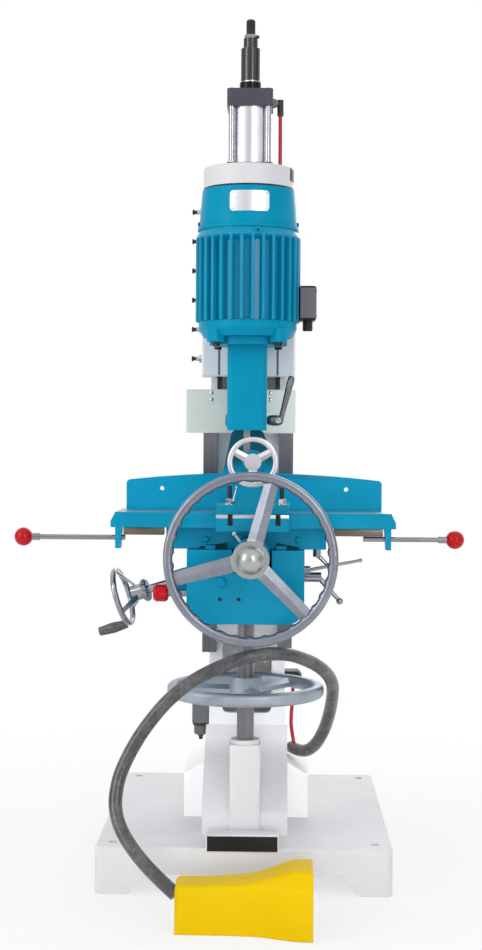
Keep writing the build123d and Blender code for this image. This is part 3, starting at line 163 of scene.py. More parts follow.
def fill(bench, values):
    for key, value in values.items():
        bench.plug(bench.shader.inputs[key], value)
    return bench


def surface(bench, colour, rough, normal):
    return fill(bench, {"Base Color": colour, "Roughness": rough, "Normal": normal})


def coated(name, look, rough):  # a material under a clear coat
    return finish(name, {"Specular IOR Level": look["shine"], "Coat Weight": look["coat"],
                         "Coat Roughness": rough})


# Camera at the photograph's own viewpoint, for an image of 482 x 950
cameraLook = {"place": mm(52.71, -3444.72, 886.79), "yaw": 0.02016, "pitch": -0.02217, "roll": 0.00686,
              "focal": 1600, "imageHeight": 950, "sensor": 36, "farClip": 100}


def makeCamera(look):
    yaw, pitch, roll = look["yaw"], look["pitch"], look["roll"]
    level, side = Vector((-sin(yaw), cos(yaw), 0)), Vector((cos(yaw), sin(yaw), 0))
    ahead = cos(pitch) * level + sin(pitch) * up
    tall = cos(pitch) * up - sin(pitch) * level
    wide, top = cos(roll) * side + sin(roll) * tall, cos(roll) * tall - sin(roll) * side
    data = bpy.data.cameras.new("camera")
    data.sensor_fit, data.sensor_height = "VERTICAL", look["sensor"]
    data.lens = look["sensor"] * look["focal"] / look["imageHeight"]
    data.clip_end = look["farClip"]
    camera = bpy.data.objects.new("camera", data)
    scene.collection.objects.link(camera)
    turn = Matrix((wide, top, -ahead)).transposed().to_4x4()
    camera.matrix_world = Matrix.Translation(look["place"]) @ turn
    scene.camera = camera


makeCamera(cameraLook)
print("camera placed")

# Soft studio: even sky, two tall lamps and a low one in front, one wide lamp behind, pale floor
studio = {"sky": 0.8, "backdrop": 1.0, "aimY": -0.2}
lamps = table(("place", "power", "wide", "tall", "aimZ", "spread", "mirrored"), {
    "key": ((-2.5, -2.2, 1.9), 25, 0.6, 2.4, 0.85, 180, True),
    "side": ((1.3, -3.2, 1.7), 17, 0.35, 2.2, 0.85, 180, True),
    "low": ((0.0, -3.3, 0.5), 0.8, 1.2, 0.4, 0.3, 26, False),
    "rear": ((0.8, 2.6, 2.4), 24, 1.8, 1.8, 0.85, 180, True),
})
# Darker walls beside the machine and behind the camera, which polished metal mirrors
walls = table(("toward", "span", "darker"), {
    "front": ((-0.02, -1, 0), (0.9, 0.985), 0.5),
    "left": ((-0.97, 0.24, 0), (0.86, 0.97), 0.6),
    "right": ((0.99, -0.12, 0), (0.86, 0.97), 0.6),
})
floorLook = {"colour": (236, 236, 237), "speck": (222, 222, 224), "specked": 0.15, "grain": 60, "rough": 0.85,
             "shine": 0.1, "radius": 9, "sides": 96, "drop": 0.0006, "shadow": 0.3, "fade": (0.55, 1.5)}
white = (1, 1, 1, 1)


def raysSeen(bench):  # 1 for what the camera, mirrors and glass see
    return (bench.rays("Camera") + bench.rays("Glossy") + bench.rays("Transmission")).held()


def makeSky(look):
    world = bpy.data.worlds.new("studio")
    scene.world = world
    world.use_nodes = True
    world.node_tree.nodes.clear()
    bench = Bench(world.node_tree)
    mirrored = 1.0
    for wall in walls.values():
        way = bench.node("ShaderNodeTexCoord", out="Generated")
        toWall = bench.vector("DOT_PRODUCT", way, Vector(wall["toward"]).normalized(), "Value")
        mirrored = mirrored - toWall.between(*wall["span"]) * wall["darker"]
    level = look["backdrop"] * (1 - bench.rays("Glossy") * (1 - mirrored))
    sky = bench.node("ShaderNodeBackground", {"Color": white, "Strength": look["sky"]})
    backdrop = bench.node("ShaderNodeBackground", {"Color": white, "Strength": level})
    both = bench.node("ShaderNodeMixShader", {0: raysSeen(bench), 1: sky, 2: backdrop})
    bench.plug(world.node_tree.nodes.new("ShaderNodeOutputWorld").inputs[0], both)


def makeLamp(name, look):
    data = bpy.data.lights.new(name, "AREA")
    data.shape, data.energy, data.size, data.size_y = "RECTANGLE", look["power"], look["wide"], look["tall"]
    data.spread = radians(look["spread"])
    lamp = bpy.data.objects.new(name, data)
    lamp.location = look["place"]
    aim = Vector((0, studio["aimY"], look["aimZ"]))
    lamp.rotation_euler = (aim - lamp.location).to_track_quat("-Z", "Y").to_euler()
    lamp.visible_camera, lamp.visible_glossy = False, look["mirrored"]
    scene.collection.objects.link(lamp)


def makeFloor(look):
    form = bmesh.new()
    bmesh.ops.create_circle(form, cap_ends=True, segments=look["sides"], radius=look["radius"])
    mesh = bpy.data.meshes.new("floor")
    form.to_mesh(mesh)
    form.free()
    floor = bpy.data.objects.new("floor", mesh)
    floor.location.z = -look["drop"]
    scene.collection.objects.link(floor)
    bench = finish("floor", {"Roughness": look["rough"], "Specular IOR Level": look["shine"]})
    grain = bench.noise(look["grain"], 3) * look["specked"]
    fill(bench, {"Base Color": bench.mix(grain, tone(look["colour"]), tone(look["speck"]))})
    away = bench.vector("LENGTH", bench.spot(), out="Value")
    shaded = look["shadow"] * (1 - away.between(*look["fade"]))
    glow = bench.node("ShaderNodeEmission", {"Color": white, "Strength": studio["backdrop"]})
    painted = Wire(bench, bench.shader.outputs[0])
    both = bench.node("ShaderNodeMixShader", {0: raysSeen(bench) * (1 - shaded), 1: painted, 2: glow})
    bench.plug(bench.tree.nodes["Material Output"].inputs["Surface"], both)
    mesh.materials.append(bench.material)


makeSky(studio)
for name, look in lamps.items():
    makeLamp(name, look)
makeFloor(floorLook)
print("studio lit")

middling = 0.5  # what noise comes to on the whole

# Casting paint: slight colour drift, orange peel, soft edges with a little rub
paintSkin = {"edge": 0.0014, "cloud": 7, "cloudRough": 0.14, "drift": (0.3, 0.75), "speck": 900,
             "speckRough": 0.1, "rub": 160, "rubbed": (0.42, 0.66), "rubShare": 0.55, "peel": 48,
             "finePeel": 360, "fineShare": 0.5, "depth": 0.00022, "strength": 0.5}
paintLook = table(("colour", "drift", "rub", "rough", "shine"), {
    "whitePaint": ((221, 221, 223), (212, 213, 216), (190, 191, 194), 0.42, 0.3),
    # a paler copy of whitePaint for the head slide: painted light over the shade the motor casts on it
    "paleWhite": ((245, 245, 247), (238, 239, 242), (208, 209, 212), 0.42, 0.3),
    "bluePaint": ((0, 150, 186), (0, 136, 174), (70, 178, 206), 0.34, 0.07),
    # a paler copy of bluePaint for the fence: painted light over its shade under the head
    "fencePaint": ((0, 160, 202), (0, 148, 188), (70, 178, 206), 0.34, 0.07),
    "capPaint": ((78, 77, 88), (70, 69, 80), (118, 118, 128), 0.45, 0.25),
    "boxPaint": ((112, 112, 120), (102, 102, 110), (140, 140, 146), 0.45, 0.25),
    "yellowPaint": ((226, 191, 0), (217, 180, 0), (250, 222, 60), 0.42, 0.08),
    # dark teal: painted shade in the saddle-knee gap, and the own dark teal of two knee screws
    "wiperFelt": ((28, 78, 82), (20, 60, 66), (40, 96, 100), 0.8, 0.05),
    # black: the base's nameplate, and painted shade in slots of the top bracket and the work clamp
    "plateBlack": ((20, 20, 21), (28, 28, 29), (60, 60, 62), 0.4, 0.3),
})


def castPaint(name, look):
    bench, own = finish(name, {"Specular IOR Level": look["shine"]}), paintSkin
    rounded = bench.softEdge(own["edge"])
    cloud, speck = bench.noise(own["cloud"], 4), bench.noise(own["speck"])
    rub = (bench.edge(rounded) * bench.noise(own["rub"], 4).between(*own["rubbed"])).held()
    body = bench.mix(cloud.between(*own["drift"]), tone(look["colour"]), tone(look["drift"]))
    peel = bench.noise(own["finePeel"]) * own["fineShare"] + bench.noise(own["peel"], 3)
    rough = look["rough"] + (cloud - middling) * own["cloudRough"] + (speck - middling) * own["speckRough"]
    colour = bench.mix(rub * own["rubShare"], body, tone(look["rub"]))
    return surface(bench, colour, rough, bench.bump(peel, own["depth"], own["strength"], rounded))


# Bare metals: grain runs with "grain", which stretches the noise across it
metalSkin = {"edge": 0.0008, "cloud": 14, "cloudShare": 0.6, "cloudRough": 0.12, "grainShare": 0.5,
             "grainRough": 0.2, "stained": (0.35, 0.8), "depth": 0.00006, "strength": 0.5}
metalLook = table(("colour", "stain", "rough", "grain"), {
    "wayIron": ((140, 141, 145), (108, 109, 114), 0.36, (260, 260, 4)),
    "screwSteel": ((138, 138, 142), (100, 100, 106), 0.34, (12, 12, 600)),
    "toolSteel": ((186, 188, 192), (140, 142, 148), 0.26, (300, 300, 30)),
    "wheelGrey": ((154, 157, 168), (126, 129, 142), 0.34, (40, 40, 40)),
    "liftGrey": ((180, 188, 198), (164, 173, 185), 0.52, (40, 40, 40)),
    "chrome": ((214, 215, 220), (188, 190, 196), 0.15, (30, 30, 30)),
    "handSteel": ((168, 170, 175), (136, 138, 143), 0.18, (30, 30, 30)),
    "leverSteel": ((132, 134, 135), (104, 106, 107), 0.3, (30, 30, 60)),
    "paleSteel": ((232, 230, 236), (210, 206, 214), 0.36, (30, 30, 30)),
    "stopSteel": ((158, 161, 166), (122, 125, 130), 0.28, (8, 240, 240)),
    "barrelAlloy": ((240, 240, 246), (212, 213, 222), 0.3, (60, 60, 3)),
    "rodSteel": ((206, 206, 208), (160, 160, 164), 0.24, (200, 200, 8)),
    "guardAlloy": ((238, 247, 240), (227, 237, 230), 0.42, (8, 200, 200)),
    "blackOxide": ((70, 71, 75), (52, 53, 57), 0.4, (60, 60, 60)),
    "groundSteel": ((222, 226, 232), (196, 202, 210), 0.32, (6, 300, 300)),
    "plateSilver": ((238, 239, 244), (220, 222, 230), 0.3, (4, 200, 200)),
    "runnerIron": ((128, 120, 112), (100, 94, 88), 0.42, (10, 120, 120)),
    "bronze": ((176, 134, 70), (120, 90, 50), 0.35, (60, 60, 60)),
    "winding": ((120, 84, 58), (80, 58, 44), 0.5, (40, 40, 300)),
})


def bareMetal(name, look):
    bench, own = finish(name, {"Metallic": 1.0}), metalSkin
    rounded = bench.softEdge(own["edge"])
    grain, cloud = bench.noise(1, 3, look["grain"]), bench.noise(own["cloud"], 4)
    stained = (cloud * own["cloudShare"] + grain * own["grainShare"]).between(*own["stained"])
    rough = look["rough"] + (grain - middling) * own["grainRough"] + (cloud - middling) * own["cloudRough"]
    colour = bench.mix(stained, tone(look["colour"]), tone(look["stain"]))
    return surface(bench, colour, rough, bench.bump(grain, own["depth"], own["strength"], rounded))


# Plastics: fine moulded skin, a little handling shine
plasticSkin = {"cloud": 26, "cloudRough": 0.16, "skinRough": 0.1, "worn": (0.45, 0.8), "wornShare": 0.7,
               "coatRough": 0.1, "strength": 0.4}
plasticLook = table(("colour", "worn", "rough", "coat", "skin", "shine", "depth"), {
    "blackPlastic": ((44, 44, 47), (66, 66, 70), 0.46, 0.0, 900, 0.45, 0.0001),
    "adjusterBlack": ((10, 10, 12), (18, 18, 21), 0.23, 0.0, 300, 0.9, 0.00002),
    "gripDark": ((76, 78, 80), (104, 106, 106), 0.36, 0.1, 500, 0.45, 0.0001),
    "redKnob": ((184, 0, 18), (168, 0, 15), 0.3, 0.3, 120, 0.12, 0.00002),
    "redTube": ((186, 44, 38), (160, 34, 32), 0.34, 0.1, 400, 0.45, 0.0001),
    "filterGrey": ((98, 102, 108), (116, 120, 126), 0.4, 0.0, 700, 0.45, 0.0001),
    "smokedBowl": ((92, 91, 91), (74, 73, 74), 0.18, 0.3, 200, 0.45, 0.0001),
})


def mouldedPlastic(name, look):
    own = plasticSkin
    bench = coated(name, look, own["coatRough"])
    skin, cloud = bench.noise(look["skin"]), bench.noise(own["cloud"], 4)
    worn = cloud.between(*own["worn"]) * own["wornShare"]
    rough = look["rough"] + (cloud - middling) * own["cloudRough"] + (skin - middling) * own["skinRough"]
    colour = bench.mix(worn, tone(look["colour"]), tone(look["worn"]))
    return surface(bench, colour, rough, bench.bump(skin, look["depth"], own["strength"]))


# Conduit cover: soft skin with wrinkles, scuffed paler in patches
hoseLook = {"colour": (54, 52, 56), "scuff": (120, 118, 121), "scuffed": (0.52, 0.78), "scuffShare": 0.6,
            "rough": 0.34, "creaseRough": 0.3, "shine": 0.45, "coat": 0.7, "coatRough": 0.22,
            "cloud": 24, "cloudShare": 0.55, "dust": 420, "dustShare": 0.12, "crease": 95, "creaseShare": 0.5,
            "crumple": 0.62, "rise": 0.7, "wrinkle": 0.0013, "strength": 0.7}


def hoseSkin(name, look):
    bench = coated(name, look, look["coatRough"])
    cloud, dust = bench.noise(look["cloud"], 4), bench.noise(look["dust"], 3) * look["dustShare"]
    crease = bench.noise(look["crease"], 5, roughness=look["crumple"])
    patches = cloud * look["cloudShare"] + crease * look["creaseShare"] + dust
    patch = patches.between(*look["scuffed"]) * look["scuffShare"]
    colour = bench.mix(patch, tone(look["colour"]), tone(look["scuff"]))
    rough = look["rough"] + (crease - middling) * look["creaseRough"]
    relief = bench.bump(crease * look["rise"] + dust, look["wrinkle"], look["strength"])
    return surface(bench, colour, rough, relief)


makers = ((castPaint, paintLook), (bareMetal, metalLook), (mouldedPlastic, plasticLook))
finishes = {name: maker(name, look) for maker, looks in makers for name, look in looks.items()}
finishes["hoseGrey"] = hoseSkin("hoseGrey", hoseLook)

# Blue castings with machined faces: ground metal on the level faces above a height; on the clamp bracket,
# with no height, the pale ground tops also paint the highlight along its upper edge
machinedLook = {"ground": (190, 196, 204), "streak": (150, 160, 172), "lines": (6, 420, 6), "metal": 0.9,
                "level": 0.9, "above": {"tableBlue": 0.7436, "clampBlue": 0}}


def partGround(name, look):
    bench = castPaint(name, paintLook["bluePaint"])
    mask = (bench.facing("Z") > look["level"]) * (bench.along("Z") > look["above"][name])
    metal = bench.mix(bench.noise(1, 3, look["lines"]), tone(look["ground"]), tone(look["streak"]))
    return fill(bench, {"Base Color": bench.mix(mask, bench.fed("Base Color"), metal),
                        "Metallic": mask * look["metal"]})


finishes.update({name: partGround(name, machinedLook) for name in machinedLook["above"]})

# Nodes of two finishes: a base one, and another colour where "where" gives 1
twoToneLook = table(("base", "colour", "rougher", "metal", "where"), {
    "columnWhite": ("whitePaint", (250, 250, 251), 0.0, 0.0,  # painted light: paler paint on the column's box behind the plinth and the post, lifting its shade
                    lambda b: b.along("Y").between(-0.13, -0.09)),
    "capsAndCollar": ("capPaint", (12, 12, 14), -0.25, 0.0, lambda b: b.along("Z") > 1.6024),
    "stemAndNut": ("adjusterBlack", (170, 170, 174), 0.06, 1.0,
                   lambda b: (b.along("Z") > 1.7124) * (b.along("Z") < 1.7204)),
    "terminalBox": ("boxPaint", (34, 34, 38), 0.05, 0.0,  # dark above and below the lid
                    lambda b: ((b.along("Z") > 1.1852) + (b.along("Z") < 1.1262)).held()),
    "knobAndStem": ("redKnob", (150, 152, 156), 0.1, 1.0, lambda b: b.along("X") > -0.1515),
    "guardAndStraps": ("guardAlloy", (66, 68, 72), 0.1, 1.0, lambda b: b.along("Z") > 0.9914),
    "wheelAndHub": ("wheelGrey", (176, 180, 180), -0.04, 1.0,
                    lambda b: b.distance(mm(12, 0, 665), (1, 0, 1)) < 0.037),
    "fenceBlue": ("fencePaint", (24, 78, 84), 0.1, 0.0,  # painted shade: dark teal on the hump above the fence's crown
                  lambda b: b.along("Z").between(0.8195, 0.846) * 0.85),
})


def twoTone(name, look):
    maker, looks = next(pair for pair in makers if look["base"] in pair[1])
    bench = maker(name, looks[look["base"]])
    mask, metal = look["where"](bench), bench.shader.inputs["Metallic"].default_value
    return fill(bench, {"Base Color": bench.mix(mask, bench.fed("Base Color"), tone(look["colour"])),
                        "Metallic": metal + mask * (look["metal"] - metal),
                        "Roughness": bench.fed("Roughness") + mask * look["rougher"]})


finishes.update({name: twoTone(name, look) for name, look in twoToneLook.items()})
finCoat = {"Coat Weight": 0.35, "Coat Roughness": 0.16}  # thicker, glossier coat on the fins
finishes["finBlue"] = fill(castPaint("finBlue", paintLook["bluePaint"]), finCoat)
print("finishes mixed,", len(finishes))

nodeFinish = {
    "whitePaint": ["base", "top_bracket", "lift_nut"], "columnWhite": ["column"], "paleWhite": ["head_slide"],
    "bluePaint": ["chisel_holder", "motor_bells", "fan_cowl", "knee", "saddle"], "finBlue": ["motor_frame"],
    "fenceBlue": ["fence"], "tableBlue": ["table"], "clampBlue": ["clamp_bracket"],
    "capsAndCollar": ["cylinder_caps"], "yellowPaint": ["pedal_hood", "pedal_base"],
    "terminalBox": ["terminal_box"], "stemAndNut": ["stroke_stem"],
    "wayIron": ["column_ways", "head_gib", "knee_keepers"],
    "screwSteel": ["lift_screw", "pinion_shaft", "table_rack"],
    "toolSteel": ["piston_rod", "chisel", "bearings", "rotor_shaft", "chuck", "auger_bit", "clamp_pad"],
    "wheelAndHub": ["large_wheel"], "liftGrey": ["lift_wheel"], "paleSteel": ["clamp_wheel"],
    "barrelAlloy": ["cylinder_barrel", "stroke_ring"], "rodSteel": ["tie_rods"],
    "stopSteel": ["left_stop_rod", "right_stop_rod"], "guardAndStraps": ["guard_plate"],
    "chrome": ["gib_screws"], "leverSteel": ["chisel_lever"],
    "handSteel": ["crank_wheel", "knee_lever", "saddle_lever", "lock_rod"], "winding": ["stator"],
    "gripDark": ["crank_grip"], "filterGrey": ["filter_body"], "smokedBowl": ["filter_bowl"],
    "blackPlastic": ["air_elbow", "air_valve", "fan", "treadle"],
    "redKnob": ["left_stop_ball", "right_stop_ball"], "knobAndStem": ["lock_knob"],
    "redTube": ["air_tubes"], "hoseGrey": ["conduit"],
}
for name, members in nodeFinish.items():
    for member in members:
        for place in nodes[member].material_slots:
            place.material = finishes[name].material
print("nodes dressed,", sum(map(len, nodeFinish.values())))


def curvePiece(name, points, radius, material):  # smooth line through a route's points, in mm
    data = bpy.data.curves.new(name, "CURVE")
    data.dimensions, data.bevel_depth, data.bevel_resolution = "3D", radius / 1000, 8
    data.resolution_u, data.use_fill_caps = 16, True
    line = data.splines.new("NURBS")
    line.points.add(len(points) - 1)
    for knot, point in zip(line.points, points):
        knot.co = (*mm(*point), 1)
    line.order_u, line.use_endpoint_u, line.use_smooth = 3, True, True
    obj = bpy.data.objects.new(name, data)
    scene.collection.objects.link(obj)
    data.materials.append(finishes[material].material)
    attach(obj, "frame")
    return obj


# Conduit: stiff covered hose, seen from end to end, the same route as the solid
conduitLook = {"radius": 13, "length": 1.2, "points": [
    (96, 10, 222), (117, -30, 218), (142, -70, 236), (161, -112, 276), (172, -152, 320), (177, -200, 368),
    (175, -244, 404), (150, -300, 440), (104, -352, 468), (64, -384, 478), (8, -404, 474), (-49, -413, 454),
    (-101, -420, 427), (-142, -428, 394), (-171, -436, 361), (-200, -446, 321), (-226, -458, 271),
    (-236, -471, 237), (-238, -486, 198), (-224, -507, 161), (-192, -530, 122), (-153, -550, 87),
    (-119, -563, 61)]}
route = conduitLook["points"]
conduit = curvePiece("conduitHose", route, conduitLook["radius"], "hoseGrey")
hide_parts("conduit")

# Red air tubes: one down from the elbow, one from the valve into the conduit
airLook = {"radius": 4, "upperLength": 0.134, "lowerLength": 0.163,
           "upper": [(62, -127.5, 1554.2), (62.5, -128, 1490), (62, -127.5, 1420.2)],
           "lower": [(98, -38, 372), (98, -38, 336), (95, -14, 298), (95, 6, 262), (104, -4, 221)]}
for part in ("upper", "lower"):
    airTube = curvePiece(part + "AirTube", airLook[part], airLook["radius"], "redTube")
    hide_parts("air_tubes")
print("conduit and air tubes laid")

# Small pieces are modelled in millimetres and seated on the solids by a straight cast
spindle = Vector((0, -270, 0))
sharpFrom = radians(34)
trees = {}


def cast(node, start, way):  # first meeting with a node: place and outward normal, in mm
    if node not in trees:
        mesh = nodes[node].data
        trees[node] = BVHTree.FromPolygons([v.co for v in mesh.vertices], [p.vertices for p in mesh.polygons])
    place, normal = trees[node].ray_cast(Vector(start) / 1000, Vector(way))[:2]
    return place * 1000, normal


def seat(node, place, way, room=400):  # the surface of a node on the line through place, met against way
    return cast(node, Vector(place) + way * room, -way)[0]


def corners(node):  # a node's box in mm
    return [Vector(v) * 1000 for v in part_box(node)]


def join(form, a, b, closed=True):  # faces between two rows of points
    for i in range(len(a) if closed else len(a) - 1):
        j = (i + 1) % len(a)
        form.faces.new((a[i], a[j], b[j], b[i]))


def turned(form, profile, place, way, sides, hollow=False):  # spins (along, radius) pairs about a line
    axis = Vector(way).normalized()
    across = axis.orthogonal().normalized()
    other = axis.cross(across)
    spokes = [across * cos(tau * i / sides) + other * sin(tau * i / sides) for i in range(sides)]
    rings = [[form.verts.new((Vector(place) + axis * along + s * radius) / 1000) for s in spokes]
             for along, radius in profile]
    if not hollow:
        form.faces.new(rings[0][::-1])
        form.faces.new(rings[-1])
    for low, high in zip(rings, rings[1:] + rings[:1] if hollow else rings[1:]):
        join(form, low, high)


def rod(form, start, end, radius, sides=20, lipShare=0.25):
    way = Vector(end) - Vector(start)
    lip = radius * lipShare
    turned(form, [(0, radius - lip), (lip, radius), (way.length - lip, radius), (way.length, radius - lip)],
           start, way, sides)


def ball(form, place, radius, sides=24, pole=0.04):
    turns = [tau * i / sides for i in range(sides // 2 + 1)]
    turned(form, [(-radius * cos(t), max(radius * sin(t), radius * pole)) for t in turns], place, up, sides)


def slab(form, low, high, soft, steps):  # a block with rounded edges
    made = bmesh.ops.create_cube(form, size=1)["verts"]
    for v in made:
        v.co = Vector([(a + b) / 2 + c * (b - a) for a, b, c in zip(low, high, v.co)]) / 1000
    edges = [e for e in form.edges if e.verts[0] in made and e.verts[1] in made]
    bmesh.ops.bevel(form, geom=edges, offset=soft / 1000, segments=steps, affect="EDGES", profile=0.5)


def bars(look):  # rounded blocks, one for each span along X
    return [(slab, (start, look["front"], look["low"]), (end, look["back"], look["high"]), look["soft"],
             look.get("steps", 2)) for start, end in look["spans"]]


def prism(form, front, back):  # a solid between two outlines with as many corners each
    front, back = ([form.verts.new(Vector(v) / 1000) for v in side] for side in (front, back))
    form.faces.new(front)
    form.faces.new(back[::-1])
    join(form, back, front)


def skin(form, node, look):  # a thin plate with round corners that follows a curved face
    way, side = look["way"], look["side"]
    halfU, halfV, corner = look["wide"] / 2, look["high"] / 2, look["corner"]
    columns, rows, sunk, room, strips = 28, 8, 0.4, 300, []
    for i in range(columns + 1):
        u = halfU * (2 * i / columns - 1)
        past = max(abs(u) - (halfU - corner), 0)
        reach = halfV - corner + sqrt(max(corner * corner - past * past, 0))
        strip = []
        for j in range(rows + 1):
            spot = Vector(look["centre"]) + side * u + up * reach * (2 * j / rows - 1)
            place, normal = cast(node, spot + way * room, -way)
            strip.append((form.verts.new((place + normal * look["thick"]) / 1000),
                          form.verts.new((place - normal * sunk) / 1000)))
        strips.append(strip)
    for a, b in zip(strips, strips[1:]):
        join(form, [v for v, _ in a], [v for v, _ in b], False)
        form.faces.new((a[0][1], b[0][1], b[0][0], a[0][0]))
        form.faces.new((a[rows][0], b[rows][0], b[rows][1], a[rows][1]))
    for strip in (strips[0], strips[-1]):
        join(form, *zip(*strip), False)


def piece(name, body, coat, parts, replaced=None):  # each part is a shape function with its values
    form = bmesh.new()
    for make, *values in parts:
        make(form, *values)
    bmesh.ops.recalc_face_normals(form, faces=form.faces)
    mesh = bpy.data.meshes.new(name)
    form.to_mesh(mesh)
    form.free()
    mesh.shade_smooth()
    mesh.set_sharp_from_angle(angle=sharpFrom)
    obj = bpy.data.objects.new(name, mesh)
    scene.collection.objects.link(obj)
    mesh.materials.append(finishes[coat].material)
    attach(obj, body)
    if replaced:
        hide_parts(replaced)


def ringOf(radius, height, turns):  # spots round the spindle
    ways = [Vector((cos(radians(t)), sin(radians(t)), 0)) for t in turns]
    return [(spindle + up * height + way * radius, way) for way in ways]


# Bare plates: silver on the fan cowl, black on a low pad of the base, and a black plate in the bracket's rim
# that paints the shade of a slot
motorPlate = {"centre": (3.5, -270, 1346), "wide": 75, "high": 40, "corner": 6, "thick": 1.2, "way": near,
              "side": right, "rivets": [(-29, 1331), (36, 1331), (-29, 1361), (36, 1361)],
              "rivet": [(0.8, 1.9), (1.6, 1.8), (2.1, 1.2), (2.3, 0.3)], "castFrom": -900}
piece("motorPlate", "head", "plateSilver", [(skin, "fan_cowl", motorPlate)])
spots = [cast("fan_cowl", (x, motorPlate["castFrom"], z), far) for x, z in motorPlate["rivets"]]
piece("motorPlateRivets", "head", "chrome", [(turned, motorPlate["rivet"], *spot, 14) for spot in spots])

basePad = {"spans": [(-74, 69)], "front": -352.4, "back": -318, "low": 83, "high": 118.5, "soft": 2.4,
           "steps": 4}
basePlate = {"spans": [(-71, 66)], "front": -353.6, "back": -351.4, "low": 86, "high": 115.5, "soft": 0.5}
piece("basePad", "frame", "whitePaint", bars(basePad))
piece("basePlate", "frame", "plateBlack", bars(basePlate))

bracketSlot = {"radius": 89, "height": 1406, "turn": -13, "wide": 34, "high": 27, "corner": 3, "thick": 0.5}
centre, way = ringOf(bracketSlot["radius"], bracketSlot["height"], [bracketSlot["turn"]])[0]
bracketSlot.update({"centre": centre, "way": way, "side": way.cross(up)})
piece("bracketSlot", "frame", "plateBlack", [(skin, "top_bracket", bracketSlot)])


# Finger grips: a wavy band along the inner side of the large handwheel's rim
gripLook = {"count": 34, "swell": 3.0, "sunk": 0.5, "innerRadius": 145.5, "soft": 6.8, "halfDepth": 10.6,
            "y": -487, "steps": 10, "leans": range(-80, 81, 20)}


def wheelGrips(form, look):
    low, high = corners("large_wheel")
    centre = Vector(((low.x + high.x) / 2, look["y"], (low.z + high.z) / 2))
    points, rings = look["count"] * look["steps"], []
    for i in range(points):
        turn = tau * i / points
        wave = (look["swell"] + look["sunk"]) * (0.5 - 0.5 * cos(turn * look["count"])) - look["sunk"]
        ring = []
        for lean in map(radians, look["leans"]):
            reach = look["innerRadius"] + look["soft"] - (look["soft"] + wave) * cos(lean)
            spot = centre + Vector((reach * cos(turn), look["halfDepth"] * sin(lean), reach * sin(turn)))
            ring.append(form.verts.new(spot / 1000))
        rings.append(ring)
    for a, b in zip(rings, rings[1:] + rings[:1]):
        join(form, a, b)


piece("wheelGrips", "wheel", "wheelGrey", [(wheelGrips, gripLook)])

# Fasteners: each kind gives the profiles of its head, each group its seat and spots
sunk = -0.6


def hexHead(size, tall):
    return [([(sunk, size * 1.3), (size * 0.2, size * 1.3)], 28),
            ([(size * 0.2, size), (tall - size * 0.15, size), (tall, size * 0.84)], 6)]


def panHead(size, tall):
    return [([(sunk, size), (tall * 0.4, size), (tall * 0.75, size * 0.86), (tall, size * 0.5),
              (tall, size * 0.2)], 24)]


def socketHead(size, tall):
    return [([(sunk, size), (tall - size * 0.14, size), (tall, size * 0.86), (tall, size * 0.52),
              (tall - size * 0.5, size * 0.5)], 24)]


def grid(columns, rows, spot, way):  # spots at each pair of a column and a row
    return [(spot(a, b), way) for a in columns for b in rows]


boxLow, boxHigh = corners("terminal_box")
guardLow = corners("guard_plate")[0]
fastenerLook = table(("node", "body", "finish", "head", "size", "tall", "spots"), {
    "bellBolts": ("motor_bells", "head", "blackOxide", hexHead, 8, 8,
                  grid((-60.8, 60.8), (-330.8, -209.2), lambda x, y: (x, y, 1090), down)),
    "cowlScrews": ("fan_cowl", "head", "blackOxide", panHead, 4.5, 3.6, ringOf(97, 1311, (-2, 88, 182))),
    "fenceScrew": ("fence", "table", "chrome", panHead, 4.5, 3, [((8.5, -217, 779), near)]),
    "fenceBolts": ("fence", "table", "blackOxide", hexHead, 7.5, 8,
                   [((x, -174, 750), up) for x in (-190, -80, 108, 218)]),
    "kneePlug": ("knee", "knee", "bluePaint", panHead, 11, 3.4, [((-47.5, -330, 608), near)]),
    "kneeScrews": ("knee", "knee", "wiperFelt", socketHead, 3.6, 2.4,
                   [((x, -330, 575), near) for x in (-50, -13)]),
    "bracketScrews": ("top_bracket", "frame", "blackOxide", socketHead, 9, 10,
                      grid((-55, 55), (-30, 100), lambda x, y: (x, y, 1420), up)),
    "guardScrews": ("guard_plate", "head", "chrome", panHead, 4.2, 3,
                    grid((-77, 45), (70, 84), lambda x, z: (x, -120, guardLow.z + z), near)),
    "lidScrews": ("terminal_box", "head", "chrome", panHead, 3, 3.2,
                  grid((-294, -246), (-9, -58), lambda y, z: (130, y, boxHigh.z + z), right)),
    "rodSockets": ("tie_rods", "frame", "blackOxide", socketHead, 5.6, 1.6,
                   grid((-37, 37), (-164.5, -90.5), lambda x, y: (x, y, 1600), up)),
    "saddleBosses": ("saddle", "saddle", "bluePaint", panHead, 7, 4,
                     [((x, -300, 690), near) for x in (-79, 103)]),
})
for name, look in fastenerLook.items():
    piece(name, look["body"], look["finish"], [
        (turned, profile, seat(look["node"], spot, way), way, sides) for spot, way in look["spots"]
        for profile, sides in look["head"](look["size"], look["tall"])])
print("plates, grips and fasteners fitted")

